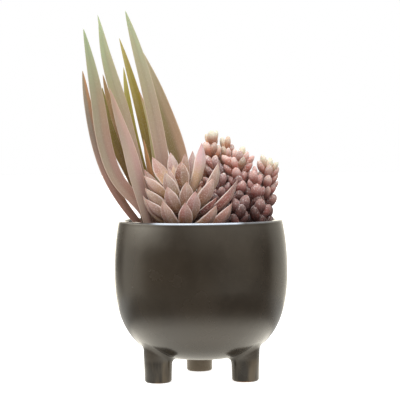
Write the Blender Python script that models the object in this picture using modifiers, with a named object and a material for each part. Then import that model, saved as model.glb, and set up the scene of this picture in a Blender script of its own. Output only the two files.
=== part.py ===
"""Potted succulent arrangement.

A stoneware bowl on three stubby feet, filled with potting mix and planted with three succulents:
a tall aloe with long channelled leaves that lean up and to the left, a rosette of thick pointed
leaves at the front, and a clump of sedum sprigs set with bead-shaped leaves on the right.

Metres, +Z up. X runs to the right and Y away from the front. The origin is the bottom centre of
the whole arrangement's box, so the bowl's own axis stands at POT_X, POT_Y. Every point below is
in millimetres from the foot of the bowl's axis; the arrangement's empty carries them to POT_X,
POT_Y.
"""

import math

import bmesh
import bpy
import numpy as np

MM = 0.001
NAME = "potted_succulent_arrangement"

# ---- driving dimensions, millimetres ----
POT_X, POT_Y = 10.8, 0.0  # bowl axis from the middle of the whole box

POT_R = 57.6  # widest outer radius
POT_BELLY_Z = 73.0  # height of the widest ring
POT_BASE_Z = 13.5  # underside of the bowl at its middle
POT_RIM_Z = 105.2
POT_RIM_R = 54.3  # outer radius at the rim
POT_WALL = 4.2
POT_FLOOR = 4.8  # thickness of the bowl's floor
RIM_ROUND = 1.5
BELLY_EXP, BELLY_ROOT = 2.4, 3.2  # how squarely the lower bowl turns under

FEET = ((-28.4, -18.2), (28.7, -15.4), (-1.4, 32.5))  # where the three feet stand, from the bowl's axis
FOOT_R = 8.8
FOOT_TOP_R = 9.3
FOOT_FLARE = 2.2
FOOT_ROUND = 1.6

GAP = 0.35  # between pieces that only rest on each other
SOIL_Z = 95.0  # potting mix level at the wall
SOIL_CROWN = 1.6  # how much higher the mix stands in the middle

# Aloe leaves, each one where it stands in the arrangement: the place of its foot on the mix, the
# points that its middle line passes through on the way up, the last one its tip, then its greatest
# width and thickness, the way its channelled side faces, the depth of the channel, and how full it
# stays towards its point.
ALOE = {
    "aloe_leaf_01": ((-33, 9), ((-52, 12, 116), (-61, 14, 132), (-69, 17, 154), (-76, 20, 186), (-79, 23, 206)), 8.0, 2.4, (0.45, -0.85, 0.3), 0.8, 2.6),
    "aloe_leaf_02": ((-27, -1), ((-41, -2, 116), (-53, -2, 130), (-62, -4, 152), (-67, -8, 184), (-75, -16, 231)), 10.4, 2.6, (0.3, -0.95, 0.2), 1.4, 2.3),
    "aloe_leaf_03": ((-27, 4), ((-42, 3, 138), (-53, 2, 183), (-61, 1, 212), (-66, 0, 238)), 10.4, 2.6, (0.25, -0.95, 0.1), 1.3, 2.5),
    "aloe_leaf_04": ((-27, 10), ((-42, 12, 138), (-54, 14, 183), (-68, 18, 243)), 7.0, 2.2, (0.2, -0.95, 0.1), 0.9, 2.6),
    "aloe_leaf_05": ((-31, 19), ((-46, 24, 141), (-57, 28, 169), (-66, 34, 204)), 6.5, 2.2, (0.2, -0.95, 0.1), 0.8, 2.4),
    "aloe_leaf_06": ((-32, -7), ((-37, -9, 116), (-42, -13, 136), (-46, -15, 152), (-51, -18, 168), (-58, -24, 192)), 9.2, 2.8, (-0.15, 0.95, 0.25), 1.5, 1.7),
    "aloe_leaf_07": ((-35, 15), ((-46, 14, 134), (-56, 13, 154), (-65, 12, 194)), 7.5, 2.2, (0.2, -0.95, 0.1), 0.9, 2.4),
    "aloe_leaf_08": ((-20, 15), ((-30, 18, 135), (-40, 21, 178), (-54, 25, 228)), 7.6, 2.5, (0.2, -0.95, 0.1), 1.2, 2.0),
    "aloe_leaf_09": ((-23, 22), ((-40, 29, 141), (-48, 34, 179), (-52, 39, 209)), 6.0, 2.2, (0.1, -1.0, 0.1), 0.8, 2.4),
    "aloe_leaf_10": ((-18, 3), ((-25, 1, 145), (-35, -4, 196), (-48, -10, 243)), 9.8, 2.7, (0.25, -0.95, 0.1), 1.3, 2.5),
    "aloe_leaf_11": ((-9, 10), ((-12, 10, 138), (-26, 12, 183), (-42, 16, 224)), 12.0, 2.8, (-0.1, -1.0, 0.05), 2.4, 2.4),
    "aloe_leaf_12": ((-17, 9), ((-28, 10, 135), (-33, 11, 167), (-40, 12, 191)), 4.5, 2.0, (0.1, -1.0, 0.1), 0.5, 2.2),
    "aloe_leaf_13": ((-23, -2), ((-28, -2, 118), (-33, -3, 138), (-37, -4, 159)), 4.5, 2.0, (-0.3, -0.95, 0.1), 0.4, 2.2),
}
ALOE_STATIONS = 10

# Rosette. The leaves grow from a short thick stem; each row is the azimuth of a leaf's tip round
# the stem in degrees, its reach from the stem and its height, then its width, its length and how far
# it sags on the way out, as a share of its length.
ROSETTE_AXIS = (-9.5, -18.0)
ROSETTE_STEM_R = 4.2
ROSETTE_STEM_TOP = 124.0
ROSETTE_THICK = 0.42  # thickness as a share of the width
ROSETTE = (
    # crown
    (168, 22, 147, 9.5, 29, 0.08),
    (128, 16, 150, 8, 27, 0.08),
    (92, 4, 149, 6, 25, 0.08),
    (70, 14, 151, 7.5, 36, 0.08),
    (-110, 7, 144, 9, 22, 0.08),
    (-165, 8, 142, 5, 19, 0.08),
    (-140, 14, 140, 5, 22, 0.08),
    (-10, 11, 156, 7.8, 33, 0.08),
    # middle
    (-135, 18, 137, 9, 25, 0.08),
    (-175, 27, 135, 8.5, 27, 0.10),
    (155, 30, 139, 7, 35, 0.10),
    (-165, 27, 127, 8.5, 27, 0.12),
    (-130, 18, 128, 9, 23, 0.10),
    (-86, 15, 131, 9, 23, 0.10),
    (-71, 20, 125, 9, 25, 0.12),
    (-15, 22, 143, 7.5, 31, 0.20),
    (-36, 22, 133, 9, 27, 0.12),
    (-15, 35, 132, 7.0, 38, 0.20),
    # skirt
    (-90, 21, 118, 8.5, 23, 0.14),
    (-131, 22, 119, 8.5, 26, 0.16),
    (-160, 27, 120, 8.5, 25, 0.18),
    (175, 28, 122, 6, 31, 0.18),
    (-45, 28, 116, 8, 26, 0.24),
    (-21, 32, 117, 8.5, 31, 0.24),
    (-36, 25, 121, 5, 23, 0.14),
    # back
    (18, 12, 121, 6.5, 18, 0.10),
    (48, 15, 128, 6, 20, 0.08),
    (60, 19, 124, 7, 22, 0.10),
    (105, 16, 138, 7, 23, 0.08),
    (130, 19, 124, 7, 22, 0.10),
    (65, 17, 113, 7, 19, 0.12),
    (100, 17, 114, 7, 20, 0.12),
)
ROSETTE_TURN = 0.9  # the leaves on the front half turn their backs to the front, those behind their faces
ROSETTE_STATIONS = 6

# Sedum sprigs: the foot of each stem on the mix and its top, then how far across and how high each
# bead on its front stands, and its radius. The beads on its back follow a spiral.
SEDUM = {
    "sedum_sprig_1": ((8, 3), (8, 3, 154), ((8, 161, 3.0), (11, 162, 2.2), (5, 160, 1.9), (5, 153, 3.3), (12, 151, 2.8), (10, 145, 2.5), (4, 131, 2.4), (0.2, 128, 2.8))),
    "sedum_sprig_2": ((20, 10), (18, 8, 150), ((15, 157, 2.3), (19, 158, 2.1), (19, 150, 2.2), (16, 151, 2.3), (13, 147, 2.4), (14, 141, 2.5), (20, 144, 2.4), (19, 138, 2.6))),
    "sedum_sprig_3": ((24, -5), (26, -6, 142), ((23, 149, 2.3), (28, 151, 2.4), (30, 147, 2.8), (34, 145, 2.3), (23, 143, 3.0), (17, 145, 2.8), (32, 141, 2.9), (24, 136, 3.2), (18, 139, 2.7), (21, 131, 2.7), (27, 127, 3.7), (29, 135, 2.6))),
    "sedum_sprig_4": ((34, -5), (36, -6, 129), ((36, 138, 2.0), (35, 134, 3.1), (39, 132, 2.6), (37, 124, 4.0), (41, 124, 2.4), (33, 129, 2.4))),
    "sedum_sprig_5": ((40, 6), (45, 5, 136), ((42, 145, 2.4), (40, 141, 2.7), (47, 143, 2.4), (51, 141, 2.0), (46, 138, 2.6), (51, 137, 2.2), (50, 133, 2.3), (45, 131, 2.9), (51, 128, 1.9), (49, 126, 2.6), (45, 124, 2.4), (48, 118, 3.3))),
    "sedum_sprig_6": ((24, -22), (26, -22, 112), ((29, 118, 3.3), (23, 116, 3.1), (28, 108, 3.2), (22, 107, 2.6))),
    "sedum_sprig_7": ((36, -15), (38, -14, 110), ((39, 115, 3.6), (44, 112, 2.9), (40, 107, 2.9))),
    "sedum_sprig_8": ((13, -8), (12, -8, 136), ((10, 144, 2.5), (5, 145, 2.2), (6, 138, 2.2), (5, 131, 2.3), (15, 133, 2.8), (14, 124, 2.8), (9, 124, 2.8), (18, 127, 2.5))),
    "sedum_sprig_9": ((28, 8), (30, 8, 128), ()),
    "sedum_sprig_10": ((7, 16), (6, 16, 141), ()),
}
SEDUM_STEM_R = 2.2
BEAD_REACH = 9.4  # from the stem's axis to the middle of a thin bead's round end
BEAD_R = (3.4, 2.3)  # the lowest beads are the fattest, the highest the slimmest
BEAD_REACHES = (8.4, 6.9, 5.6)  # tried in turn on the spiral, so that beads pack between neighbours
BEAD_LEANS = ((-9.0, 0.0, 25.0, 45.0), (76.0, 68.0, 53.0, 42.0))  # rise of a bead, by its depth under the stem's top
BEAD_Z = (104.0, 156.0)
BEAD_START_Z = 98.0
BEAD_STEP = 0.9  # rise along the spiral from one place for a bead to the next
BEAD_APART = 1.87  # least spacing of a sprig's own beads, in bead radii
BEAD_LEAST_R = 1.3
BEAD_CROWD = 0.85  # nearest that another sprig's bead may come, as a share of touching
GOLDEN = 137.508


# ---- the scene, the collections and the small helpers ----


def clear_scene():
    for obj in list(bpy.data.objects):
        bpy.data.objects.remove(obj, do_unlink=True)


def collection(name):
    made = bpy.data.collections.new(name)
    bpy.context.scene.collection.children.link(made)
    return made


def material(name, colour, roughness, metallic=0.0):
    made = bpy.data.materials.new(name)
    made.use_nodes = True
    shader = made.node_tree.nodes["Principled BSDF"]
    shader.inputs["Base Color"].default_value = (*colour, 1.0)
    shader.inputs["Roughness"].default_value = roughness
    shader.inputs["Metallic"].default_value = metallic
    made.diffuse_color = (*colour, 1.0)
    return made


def add_object(name, mesh, where, parent=None, finish=None, smooth_deg=50.0):
    obj = bpy.data.objects.new(name, mesh)
    where.objects.link(obj)
    if finish:
        mesh.materials.append(finish)
    if len(mesh.polygons):
        mesh.shade_smooth()
        mesh.set_sharp_from_angle(angle=math.radians(smooth_deg))
    obj.parent = parent
    return obj


def helper(obj):
    """A cutter or a shape that another piece is joined from."""
    obj.hide_render = True
    obj.display_type = "WIRE"
    return obj


def turned(name, profile, steps, where, parent=None, finish=None):
    """A profile of (radius, height) pairs in millimetres, down its outer side, turned round Z."""
    mesh = bpy.data.meshes.new(name)
    points = [(r * MM, 0.0, z * MM) for r, z in profile]
    mesh.from_pydata(points, [(i, i + 1) for i in range(len(points) - 1)], [])
    obj = add_object(name, mesh, where, parent, finish)
    screw = obj.modifiers.new("turn", "SCREW")
    screw.axis = "Z"
    screw.angle = math.tau
    screw.steps = screw.render_steps = steps
    screw.use_merge_vertices = True
    screw.merge_threshold = 1e-5
    screw.use_smooth_shade = True
    return obj


def boolean(obj, other, operation):
    cut = obj.modifiers.new(operation.lower() + "_" + other.name, "BOOLEAN")
    cut.operation = operation
    cut.solver = "EXACT"
    cut.object = other
    return cut


def unit(v):
    v = np.asarray(v, float)
    return v / np.linalg.norm(v)


def bezier(points):
    """A Bezier curve as a function of 0 to 1."""
    p = np.asarray(points, float)
    n = len(p) - 1
    return lambda t: sum(math.comb(n, i) * (1.0 - t) ** (n - i) * t**i * p[i] for i in range(n + 1))


def through(points):
    """A natural cubic spline through the points, as a function of 0 to 1."""
    p = np.asarray(points, float)
    n = len(p)
    knots = np.concatenate(([0.0], np.cumsum(np.linalg.norm(np.diff(p, axis=0), axis=1))))
    knots /= knots[-1]
    step = np.diff(knots)
    rows, sums = np.eye(n), np.zeros_like(p)
    for i in range(1, n - 1):
        rows[i, i - 1 : i + 2] = step[i - 1], 2.0 * (step[i - 1] + step[i]), step[i]
        sums[i] = 6.0 * ((p[i + 1] - p[i]) / step[i] - (p[i] - p[i - 1]) / step[i - 1])
    bend = np.linalg.solve(rows, sums)

    def place(t):
        i = min(max(int(np.searchsorted(knots, t, side="right")) - 1, 0), n - 2)
        h, u, v = step[i], t - knots[i], knots[i + 1] - t
        return (bend[i] * v**3 + bend[i + 1] * u**3) / (6.0 * h) + (p[i] / h - bend[i] * h / 6.0) * v + (p[i + 1] / h - bend[i + 1] * h / 6.0) * u

    return place


def heading(place, t):
    return unit(place(min(1.0, t + 0.01)) - place(max(0.0, t - 0.01)))


# ---- bowl ----


def bowl_outer(z):
    """Outer radius of the bowl at a height."""
    if z >= POT_BELLY_Z:
        up = (z - POT_BELLY_Z) / (POT_RIM_Z - POT_BELLY_Z)
        return POT_R - (POT_R - POT_RIM_R) * up**2
    down = min(1.0, (POT_BELLY_Z - z) / (POT_BELLY_Z - POT_BASE_Z))
    return POT_R * (1.0 - down**BELLY_EXP) ** (1.0 / BELLY_ROOT)


def bowl_inner(z):
    """Inner radius: the same curve, drawn in by the wall and raised by the floor."""
    if z >= POT_BELLY_Z:
        return bowl_outer(z) - POT_WALL
    floor = POT_BASE_Z + POT_FLOOR
    down = min(1.0, (POT_BELLY_Z - z) / (POT_BELLY_Z - floor))
    return (POT_R - POT_WALL) * (1.0 - down**BELLY_EXP) ** (1.0 / BELLY_ROOT)


def spread(bottom, count):
    """Heights from the belly down to the bottom, closer together as the curve turns under."""
    return [bottom + (POT_BELLY_Z - bottom) * (1.0 - math.sin(0.5 * math.pi * i / count)) for i in range(1, count)]


def outer_profile():
    rim = [(0.0, POT_RIM_Z)]
    for i in range(4):
        a = 0.5 * math.pi * (1 - i / 3)
        rim.append((POT_RIM_R - RIM_ROUND + RIM_ROUND * math.cos(a), POT_RIM_Z - RIM_ROUND + RIM_ROUND * math.sin(a)))
    side = [(bowl_outer(z), z) for z in (95.0, 84.0, POT_BELLY_Z)]
    under = [(bowl_outer(z), z) for z in spread(POT_BASE_Z, 9)]
    return rim + side + under + [(0.0, POT_BASE_Z)]


def inner_profile(top, inset=0.0):
    side = [(bowl_inner(z) - inset, z) for z in (95.0, 84.0, POT_BELLY_Z) if z < top - 1.0]
    floor = POT_BASE_Z + POT_FLOOR + inset
    under = [(max(0.5, bowl_inner(z - inset) - inset), z) for z in spread(floor, 7)]
    return side, under, floor


def build_pot(parts, cutters, root, finish):
    pot = turned("pot", outer_profile(), 36, parts, root, finish)
    for number, (x, y) in enumerate(FEET, 1):
        profile = [(0.0, 34.0), (FOOT_TOP_R + FOOT_FLARE + 1.2, 34.0), (FOOT_TOP_R + FOOT_FLARE, 24.0), (FOOT_TOP_R + 0.35 * FOOT_FLARE, 19.0), (FOOT_TOP_R, 14.0)]
        for i in range(4):
            b = 0.5 * math.pi * i / 3
            profile.append((FOOT_R - FOOT_ROUND + FOOT_ROUND * math.cos(b), FOOT_ROUND - FOOT_ROUND * math.sin(b)))
        profile.append((0.0, 0.0))
        foot = helper(turned(f"foot_form_{number}", profile, 18, cutters, root))
        foot.location = (x * MM, y * MM, 0.0)
        boolean(pot, foot, "UNION")
    side, under, floor = inner_profile(POT_RIM_Z)
    mouth = bowl_outer(POT_RIM_Z) - POT_WALL
    lip = [(0.0, POT_RIM_Z + 6.0), (mouth + RIM_ROUND + 2.0, POT_RIM_Z + 6.0), (mouth + RIM_ROUND, POT_RIM_Z), (mouth + 0.25 * RIM_ROUND, POT_RIM_Z - 0.6 * RIM_ROUND), (mouth, POT_RIM_Z - RIM_ROUND - 0.6)]
    hollow = helper(turned("hollow_form", lip + side + under + [(0.0, floor)], 36, cutters, root))
    boolean(pot, hollow, "DIFFERENCE")
    return pot


def build_soil(parts, root, finish):
    side, under, floor = inner_profile(SOIL_Z, GAP)
    edge = bowl_inner(SOIL_Z) - GAP
    top = [(0.0, SOIL_Z + SOIL_CROWN), (0.35 * edge, SOIL_Z + 0.8 * SOIL_CROWN), (0.8 * edge, SOIL_Z + 0.25 * SOIL_CROWN), (edge, SOIL_Z)]
    return turned("potting_mix", top + side + under + [(0.0, floor)], 24, parts, root, finish)


def soil_height(x, y):
    edge = bowl_inner(SOIL_Z)
    r = math.hypot(x, y) / edge
    return SOIL_Z + SOIL_CROWN * np.interp(r, (0.0, 0.35, 0.8, 1.0), (1.0, 0.8, 0.25, 0.0))


# ---- leaves ----


def long_taper(fullness):
    """Share of the full width along a long leaf: narrower foot, then drawn out to a point."""

    def share(t):
        if t < 0.42:
            return 1.0 - 0.45 * ((0.42 - t) / 0.42) ** 1.25
        return max(0.0, 1.0 - ((t - 0.42) / 0.58) ** fullness) ** 0.78

    return share


def plump_taper(t):
    """Share of the full width along a rosette leaf: narrow foot, widest past the middle, pointed."""
    if t < 0.55:
        return 0.42 + 0.58 * math.sin(0.5 * math.pi * t / 0.55)
    return max(0.0, 1.0 - ((t - 0.55) / 0.45) ** 2.1)


def leaf_mesh(name, spine, width, thick, facing, channel, taper, stations, ends=(0.0, 0.965), back=0.62):
    """A loft of lens-shaped sections along the spine, closed by a cap at the foot and a point."""
    bm = bmesh.new()
    facing = unit(facing)
    rings = []
    for i in range(stations):
        t = ends[0] + (ends[1] - ends[0]) * (i / (stations - 1)) ** 0.85
        centre = spine(t)
        along = heading(spine, t)
        up = unit(facing - np.dot(facing, along) * along)
        side = np.cross(along, up)
        share = taper(t)
        a = 0.5 * width * share
        h = thick * (0.25 + 0.75 * share) * min(1.0, 0.35 + share)
        c = channel * share
        ring = []
        for j in range(6):
            phi = math.tau * j / 6
            x, s = math.cos(phi), math.sin(phi)
            lift = c * (x * x - 0.5) + (h * (1 - back) if s > 0 else h * back) * s
            ring.append(bm.verts.new((centre + side * a * x + up * lift) * MM))
        rings.append(ring)
    for low, high in zip(rings, rings[1:]):
        for j in range(6):
            bm.faces.new((low[j], low[(j + 1) % 6], high[(j + 1) % 6], high[j]))
    bm.faces.new(list(reversed(rings[0])))
    tip = bm.verts.new(spine(1.0) * MM)
    for j in range(6):
        bm.faces.new((rings[-1][j], rings[-1][(j + 1) % 6], tip))
    bmesh.ops.recalc_face_normals(bm, faces=bm.faces)
    mesh = bpy.data.meshes.new(name)
    bm.to_mesh(mesh)
    bm.free()
    return mesh


def build_aloe(parts, root, finish):
    for name, ((x, y), path, width, thick, facing, channel, fullness) in ALOE.items():
        foot = (x, y, soil_height(x, y) + GAP + 1.0)
        mesh = leaf_mesh(name, through((foot, *path)), width, thick, facing, channel, long_taper(fullness), ALOE_STATIONS)
        add_object(name, mesh, parts, root, finish)


def rosette_spine(azimuth, reach, height, length, sag):
    """From the stem out and up to the tip, bowed so that the leaf turns upward."""
    a = math.radians(azimuth)
    out = np.array((math.cos(a), math.sin(a), 0.0))
    axis = np.array((*ROSETTE_AXIS, 0.0))
    tip = axis + out * reach + np.array((0.0, 0.0, height))
    start = ROSETTE_STEM_R + GAP + 0.9
    rise = math.sqrt(max(4.0, length**2 - (reach - start) ** 2))
    foot_z = min(max(height - rise, 98.0), ROSETTE_STEM_TOP - 1.5)
    foot = axis + out * start + np.array((0.0, 0.0, foot_z))
    run = tip - foot
    bow = sag * length * unit(np.cross(np.cross(run, (0.0, 0.0, 1.0)), run) * -1.0 if reach > start + 1.0 else out)
    return bezier((foot, foot + run / 3 + bow, foot + run * 2 / 3 + bow, tip)), out


def build_rosette(parts, root, leaf_finish, stem_finish):
    x, y = ROSETTE_AXIS
    foot = soil_height(x, y) + GAP
    r = ROSETTE_STEM_R
    profile = [(0.0, ROSETTE_STEM_TOP), (0.7 * r, ROSETTE_STEM_TOP - 0.5), (r, ROSETTE_STEM_TOP - 2.0), (r, foot + 2.0), (r * 1.15, foot), (0.0, foot)]
    stem = turned("rosette_stem", profile, 12, parts, root, stem_finish)
    stem.location = (x * MM, y * MM, 0.0)
    for number, (azimuth, reach, height, width, length, sag) in enumerate(ROSETTE, 1):
        spine, out = rosette_spine(azimuth, reach, height, length, sag)
        name = f"rosette_leaf_{number:02d}"
        facing = np.array((0.0, ROSETTE_TURN if math.sin(math.radians(azimuth)) < 0.1 else -ROSETTE_TURN, 0.75)) - 0.35 * out
        mesh = leaf_mesh(name, spine, width, ROSETTE_THICK * width, facing, 0.5, plump_taper, ROSETTE_STATIONS)
        add_object(name, mesh, parts, root, leaf_finish)


# ---- sedum ----


def segment_gap(a0, a1, b0, b1):
    """Least distance between two short segments, by sampling."""
    s = np.linspace(0.0, 1.0, 7)[:, None]
    a = a0 + (a1 - a0) * s
    b = b0 + (b1 - b0) * s
    return float(np.sqrt(((a[:, None] - b[None]) ** 2).sum(-1)).min())


def bead_radius(z):
    return float(np.interp(z, BEAD_Z, BEAD_R))


def stem_at(foot, top, z):
    return foot + (top - foot) * (z - foot[2]) / (top[2] - foot[2])


def sprig_beads():
    """Each sprig's beads as [inner end, middle of the round end, radius]. The front ones stand where
    SEDUM puts them, each as far forward as its reach from the stem allows. A golden-angle spiral
    fills the rest of the stem, and leaves out a bead that would crowd its neighbours. Where beads of
    two sprigs press on each other, both are slimmer."""
    placed = {}
    for name, ((x, y), top, front) in SEDUM.items():
        foot, top = np.array((x, y, 97.0)), np.array(top, float)
        placed[name] = rows = []
        for across, high, radius in front:
            lean = math.radians(float(np.interp(top[2] - high, *BEAD_LEANS)))
            reach = BEAD_REACH - 0.3 * radius
            root = stem_at(foot, top, min(high - reach * math.sin(lean), top[2]))
            level = math.sqrt(max(reach**2 - (high - root[2]) ** 2, 0.3))
            dx = across - root[0]
            dy = -math.sqrt(max(level**2 - dx**2, 0.0))
            rows.append([root, root + np.array((dx, dy, high - root[2])), radius])
    z, k = BEAD_START_Z, 0
    while z < BEAD_Z[1]:
        for name, ((x, y), top, _) in SEDUM.items():
            foot, top = np.array((x, y, 97.0)), np.array(top, float)
            if z > top[2] - 1.0:
                continue
            root = stem_at(foot, top, z)
            turn = math.radians(k * GOLDEN)
            lean = math.radians(float(np.interp(top[2] - z - 7.0, *BEAD_LEANS)))
            aim = np.array((math.cos(turn) * math.cos(lean), math.sin(turn) * math.cos(lean), math.sin(lean)))
            radius = bead_radius(z)
            rows = placed[name]
            near = [r for other, group in placed.items() if other != name for r in group if np.linalg.norm(r[1] - root) < 24.0]
            for reach in BEAD_REACHES:
                end = root + aim * reach
                own = min((float(np.linalg.norm(end - row[1])) for row in rows), default=99.0)
                others = min((segment_gap(root + aim * 2.5, end, r[0] + (r[1] - r[0]) * 0.3, r[1]) / (radius + r[2]) for r in near), default=99.0)
                stems = min(float(np.linalg.norm(end - stem_at(np.array((*f, 97.0)), np.array(t, float), end[2]))) for n, (f, t, _) in SEDUM.items() if n != name)
                over_rim = end[2] - 1.2 * radius > POT_RIM_Z + 1.0
                in_mouth = math.hypot(end[0], end[1]) + 1.2 * radius < POT_RIM_R - POT_WALL - GAP
                free = stems > 1.2 * radius + SEDUM_STEM_R + GAP and (over_rim or in_mouth)
                if free and own > BEAD_APART * radius and others > BEAD_CROWD:
                    rows.append([root, end, radius])
                    break
        z += BEAD_STEP
        k += 1
    names = list(placed)
    for i, one in enumerate(names):
        for other in names[i + 1 :]:
            for p in placed[one]:
                for q in placed[other]:
                    apart = segment_gap(p[0] + (p[1] - p[0]) * 0.3, p[1], q[0] + (q[1] - q[0]) * 0.3, q[1])
                    wanted = 1.25 * (p[2] + q[2]) + GAP
                    if apart < wanted:
                        share = max(0.3, apart - 1.5 * GAP) / (wanted - GAP)
                        p[2], q[2] = p[2] * share, q[2] * share
    return {name: [row for row in rows if row[2] > BEAD_LEAST_R] for name, rows in placed.items()}


def bead_form(bm, inner, aim, length, radius):
    """One bead: a stretched ball, narrow at the stem and full at its outer end."""
    made = bmesh.ops.create_uvsphere(bm, u_segments=6, v_segments=3, radius=1.0)["verts"]
    side = unit(np.cross(aim, (0.31, 0.87, 0.17)))
    other = np.cross(aim, side)
    for vert in made:
        x, y, z = vert.co
        along = float(np.interp(z, (-1.0, -0.5, 0.5, 1.0), (0.0, 0.35, 0.78, 1.0)))
        fat = radius * float(np.interp(z, (-0.5, 0.5), (0.75, 1.15)))
        vert.co = (inner + aim * (length * along) + side * x * fat + other * y * fat) * MM


def build_sedum(parts, cutters, root, finish):
    for name, rows in sprig_beads().items():
        (x, y), top, _ = SEDUM[name]
        foot, top = np.array((x, y, soil_height(x, y) + GAP)), np.array(top, float)
        length = np.linalg.norm(top - foot)
        bm = bmesh.new()
        bmesh.ops.create_cone(bm, cap_ends=True, segments=8, radius1=SEDUM_STEM_R * MM, radius2=0.8 * SEDUM_STEM_R * MM, depth=length * MM)
        mesh = bpy.data.meshes.new(name)
        along = unit(top - foot)
        side = unit(np.cross(along, (0.0, 1.0, 0.0)))
        front = np.cross(along, side)
        for vert in bm.verts:
            x, y, z = vert.co
            vert.co = (foot + top) * 0.5 * MM + side * x - front * y + along * z
            if z < 0.0:
                vert.co.z = foot[2] * MM
        bmesh.ops.recalc_face_normals(bm, faces=bm.faces)
        bm.to_mesh(mesh)
        bm.free()
        sprig = add_object(name, mesh, parts, root, finish)
        bm = bmesh.new()
        for start, end, radius in rows:
            aim = unit(end - start)
            bead_form(bm, start - aim * 1.1, aim, np.linalg.norm(end - start) + radius + 1.1, radius)
        bmesh.ops.recalc_face_normals(bm, faces=bm.faces)
        forms = bpy.data.meshes.new("beads_of_" + name)
        bm.to_mesh(forms)
        bm.free()
        joined = boolean(sprig, helper(add_object("beads_of_" + name, forms, cutters, root)), "UNION")
        joined.use_self = True


def main():
    clear_scene()
    bpy.context.scene.unit_settings.system = "METRIC"
    parts = collection(NAME)
    cutters = collection("cutters")
    root = bpy.data.objects.new("arrangement", None)
    parts.objects.link(root)
    root.location = (POT_X * MM, POT_Y * MM, 0.0)

    glaze = material("satin_brown_glaze", (0.065, 0.052, 0.045), 0.38)
    soil = material("dark_potting_mix", (0.045, 0.030, 0.020), 0.95)
    aloe = material("aloe_leaf_dusty_green", (0.42, 0.40, 0.27), 0.55)
    rosette = material("rosette_leaf_pink", (0.52, 0.31, 0.27), 0.55)
    stem = material("woody_stem", (0.25, 0.16, 0.10), 0.8)
    sedum = material("sedum_bead_mauve", (0.42, 0.22, 0.19), 0.5)

    build_pot(parts, cutters, root, glaze)
    build_soil(parts, root, soil)
    build_aloe(parts, root, aloe)
    build_rosette(parts, root, rosette, stem)
    build_sedum(parts, cutters, root, sedum)


main()
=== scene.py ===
import math

import bmesh
import bpy
import numpy as np
from mathutils import Matrix, Vector, noise


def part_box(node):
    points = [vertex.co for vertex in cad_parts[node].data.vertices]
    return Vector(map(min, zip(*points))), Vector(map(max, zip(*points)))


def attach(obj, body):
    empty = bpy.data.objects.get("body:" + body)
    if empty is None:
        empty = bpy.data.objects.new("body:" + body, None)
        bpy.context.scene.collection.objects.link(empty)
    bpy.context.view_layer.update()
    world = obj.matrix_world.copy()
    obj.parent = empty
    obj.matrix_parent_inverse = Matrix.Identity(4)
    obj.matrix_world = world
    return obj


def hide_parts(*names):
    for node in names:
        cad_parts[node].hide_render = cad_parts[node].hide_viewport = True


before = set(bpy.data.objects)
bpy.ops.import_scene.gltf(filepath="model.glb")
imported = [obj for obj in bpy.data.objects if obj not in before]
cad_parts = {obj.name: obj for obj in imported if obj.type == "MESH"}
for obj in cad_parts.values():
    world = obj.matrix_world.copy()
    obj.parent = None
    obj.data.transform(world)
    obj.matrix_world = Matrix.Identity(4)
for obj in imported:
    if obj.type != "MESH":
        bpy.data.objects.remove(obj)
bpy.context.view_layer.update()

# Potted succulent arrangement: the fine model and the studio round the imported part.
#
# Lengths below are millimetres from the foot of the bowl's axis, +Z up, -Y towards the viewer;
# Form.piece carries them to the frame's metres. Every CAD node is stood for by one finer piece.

MM = 0.001
_lo, _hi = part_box("pot")
AXIS = np.array(((_lo[0] + _hi[0]) / 2, (_lo[1] + _hi[1]) / 2, 0.0)) / MM

# ---- the arrangement's dimensions, as in the part ----
POT_R, POT_BELLY_Z, POT_BASE_Z = 57.6, 73.0, 13.5
POT_RIM_Z, POT_RIM_R, POT_WALL, POT_FLOOR = 105.2, 54.3, 4.2, 4.8
RIM_ROUND = 1.5
BELLY_EXP, BELLY_ROOT = 2.4, 3.2
FEET = ((-28.4, -18.2), (28.7, -15.4), (-1.4, 32.5))
FOOT_R, FOOT_TOP_R, FOOT_ROUND = 8.8, 9.3, 1.6
SOIL_Z, SOIL_CROWN, GAP = 95.0, 1.6, 0.35

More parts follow.
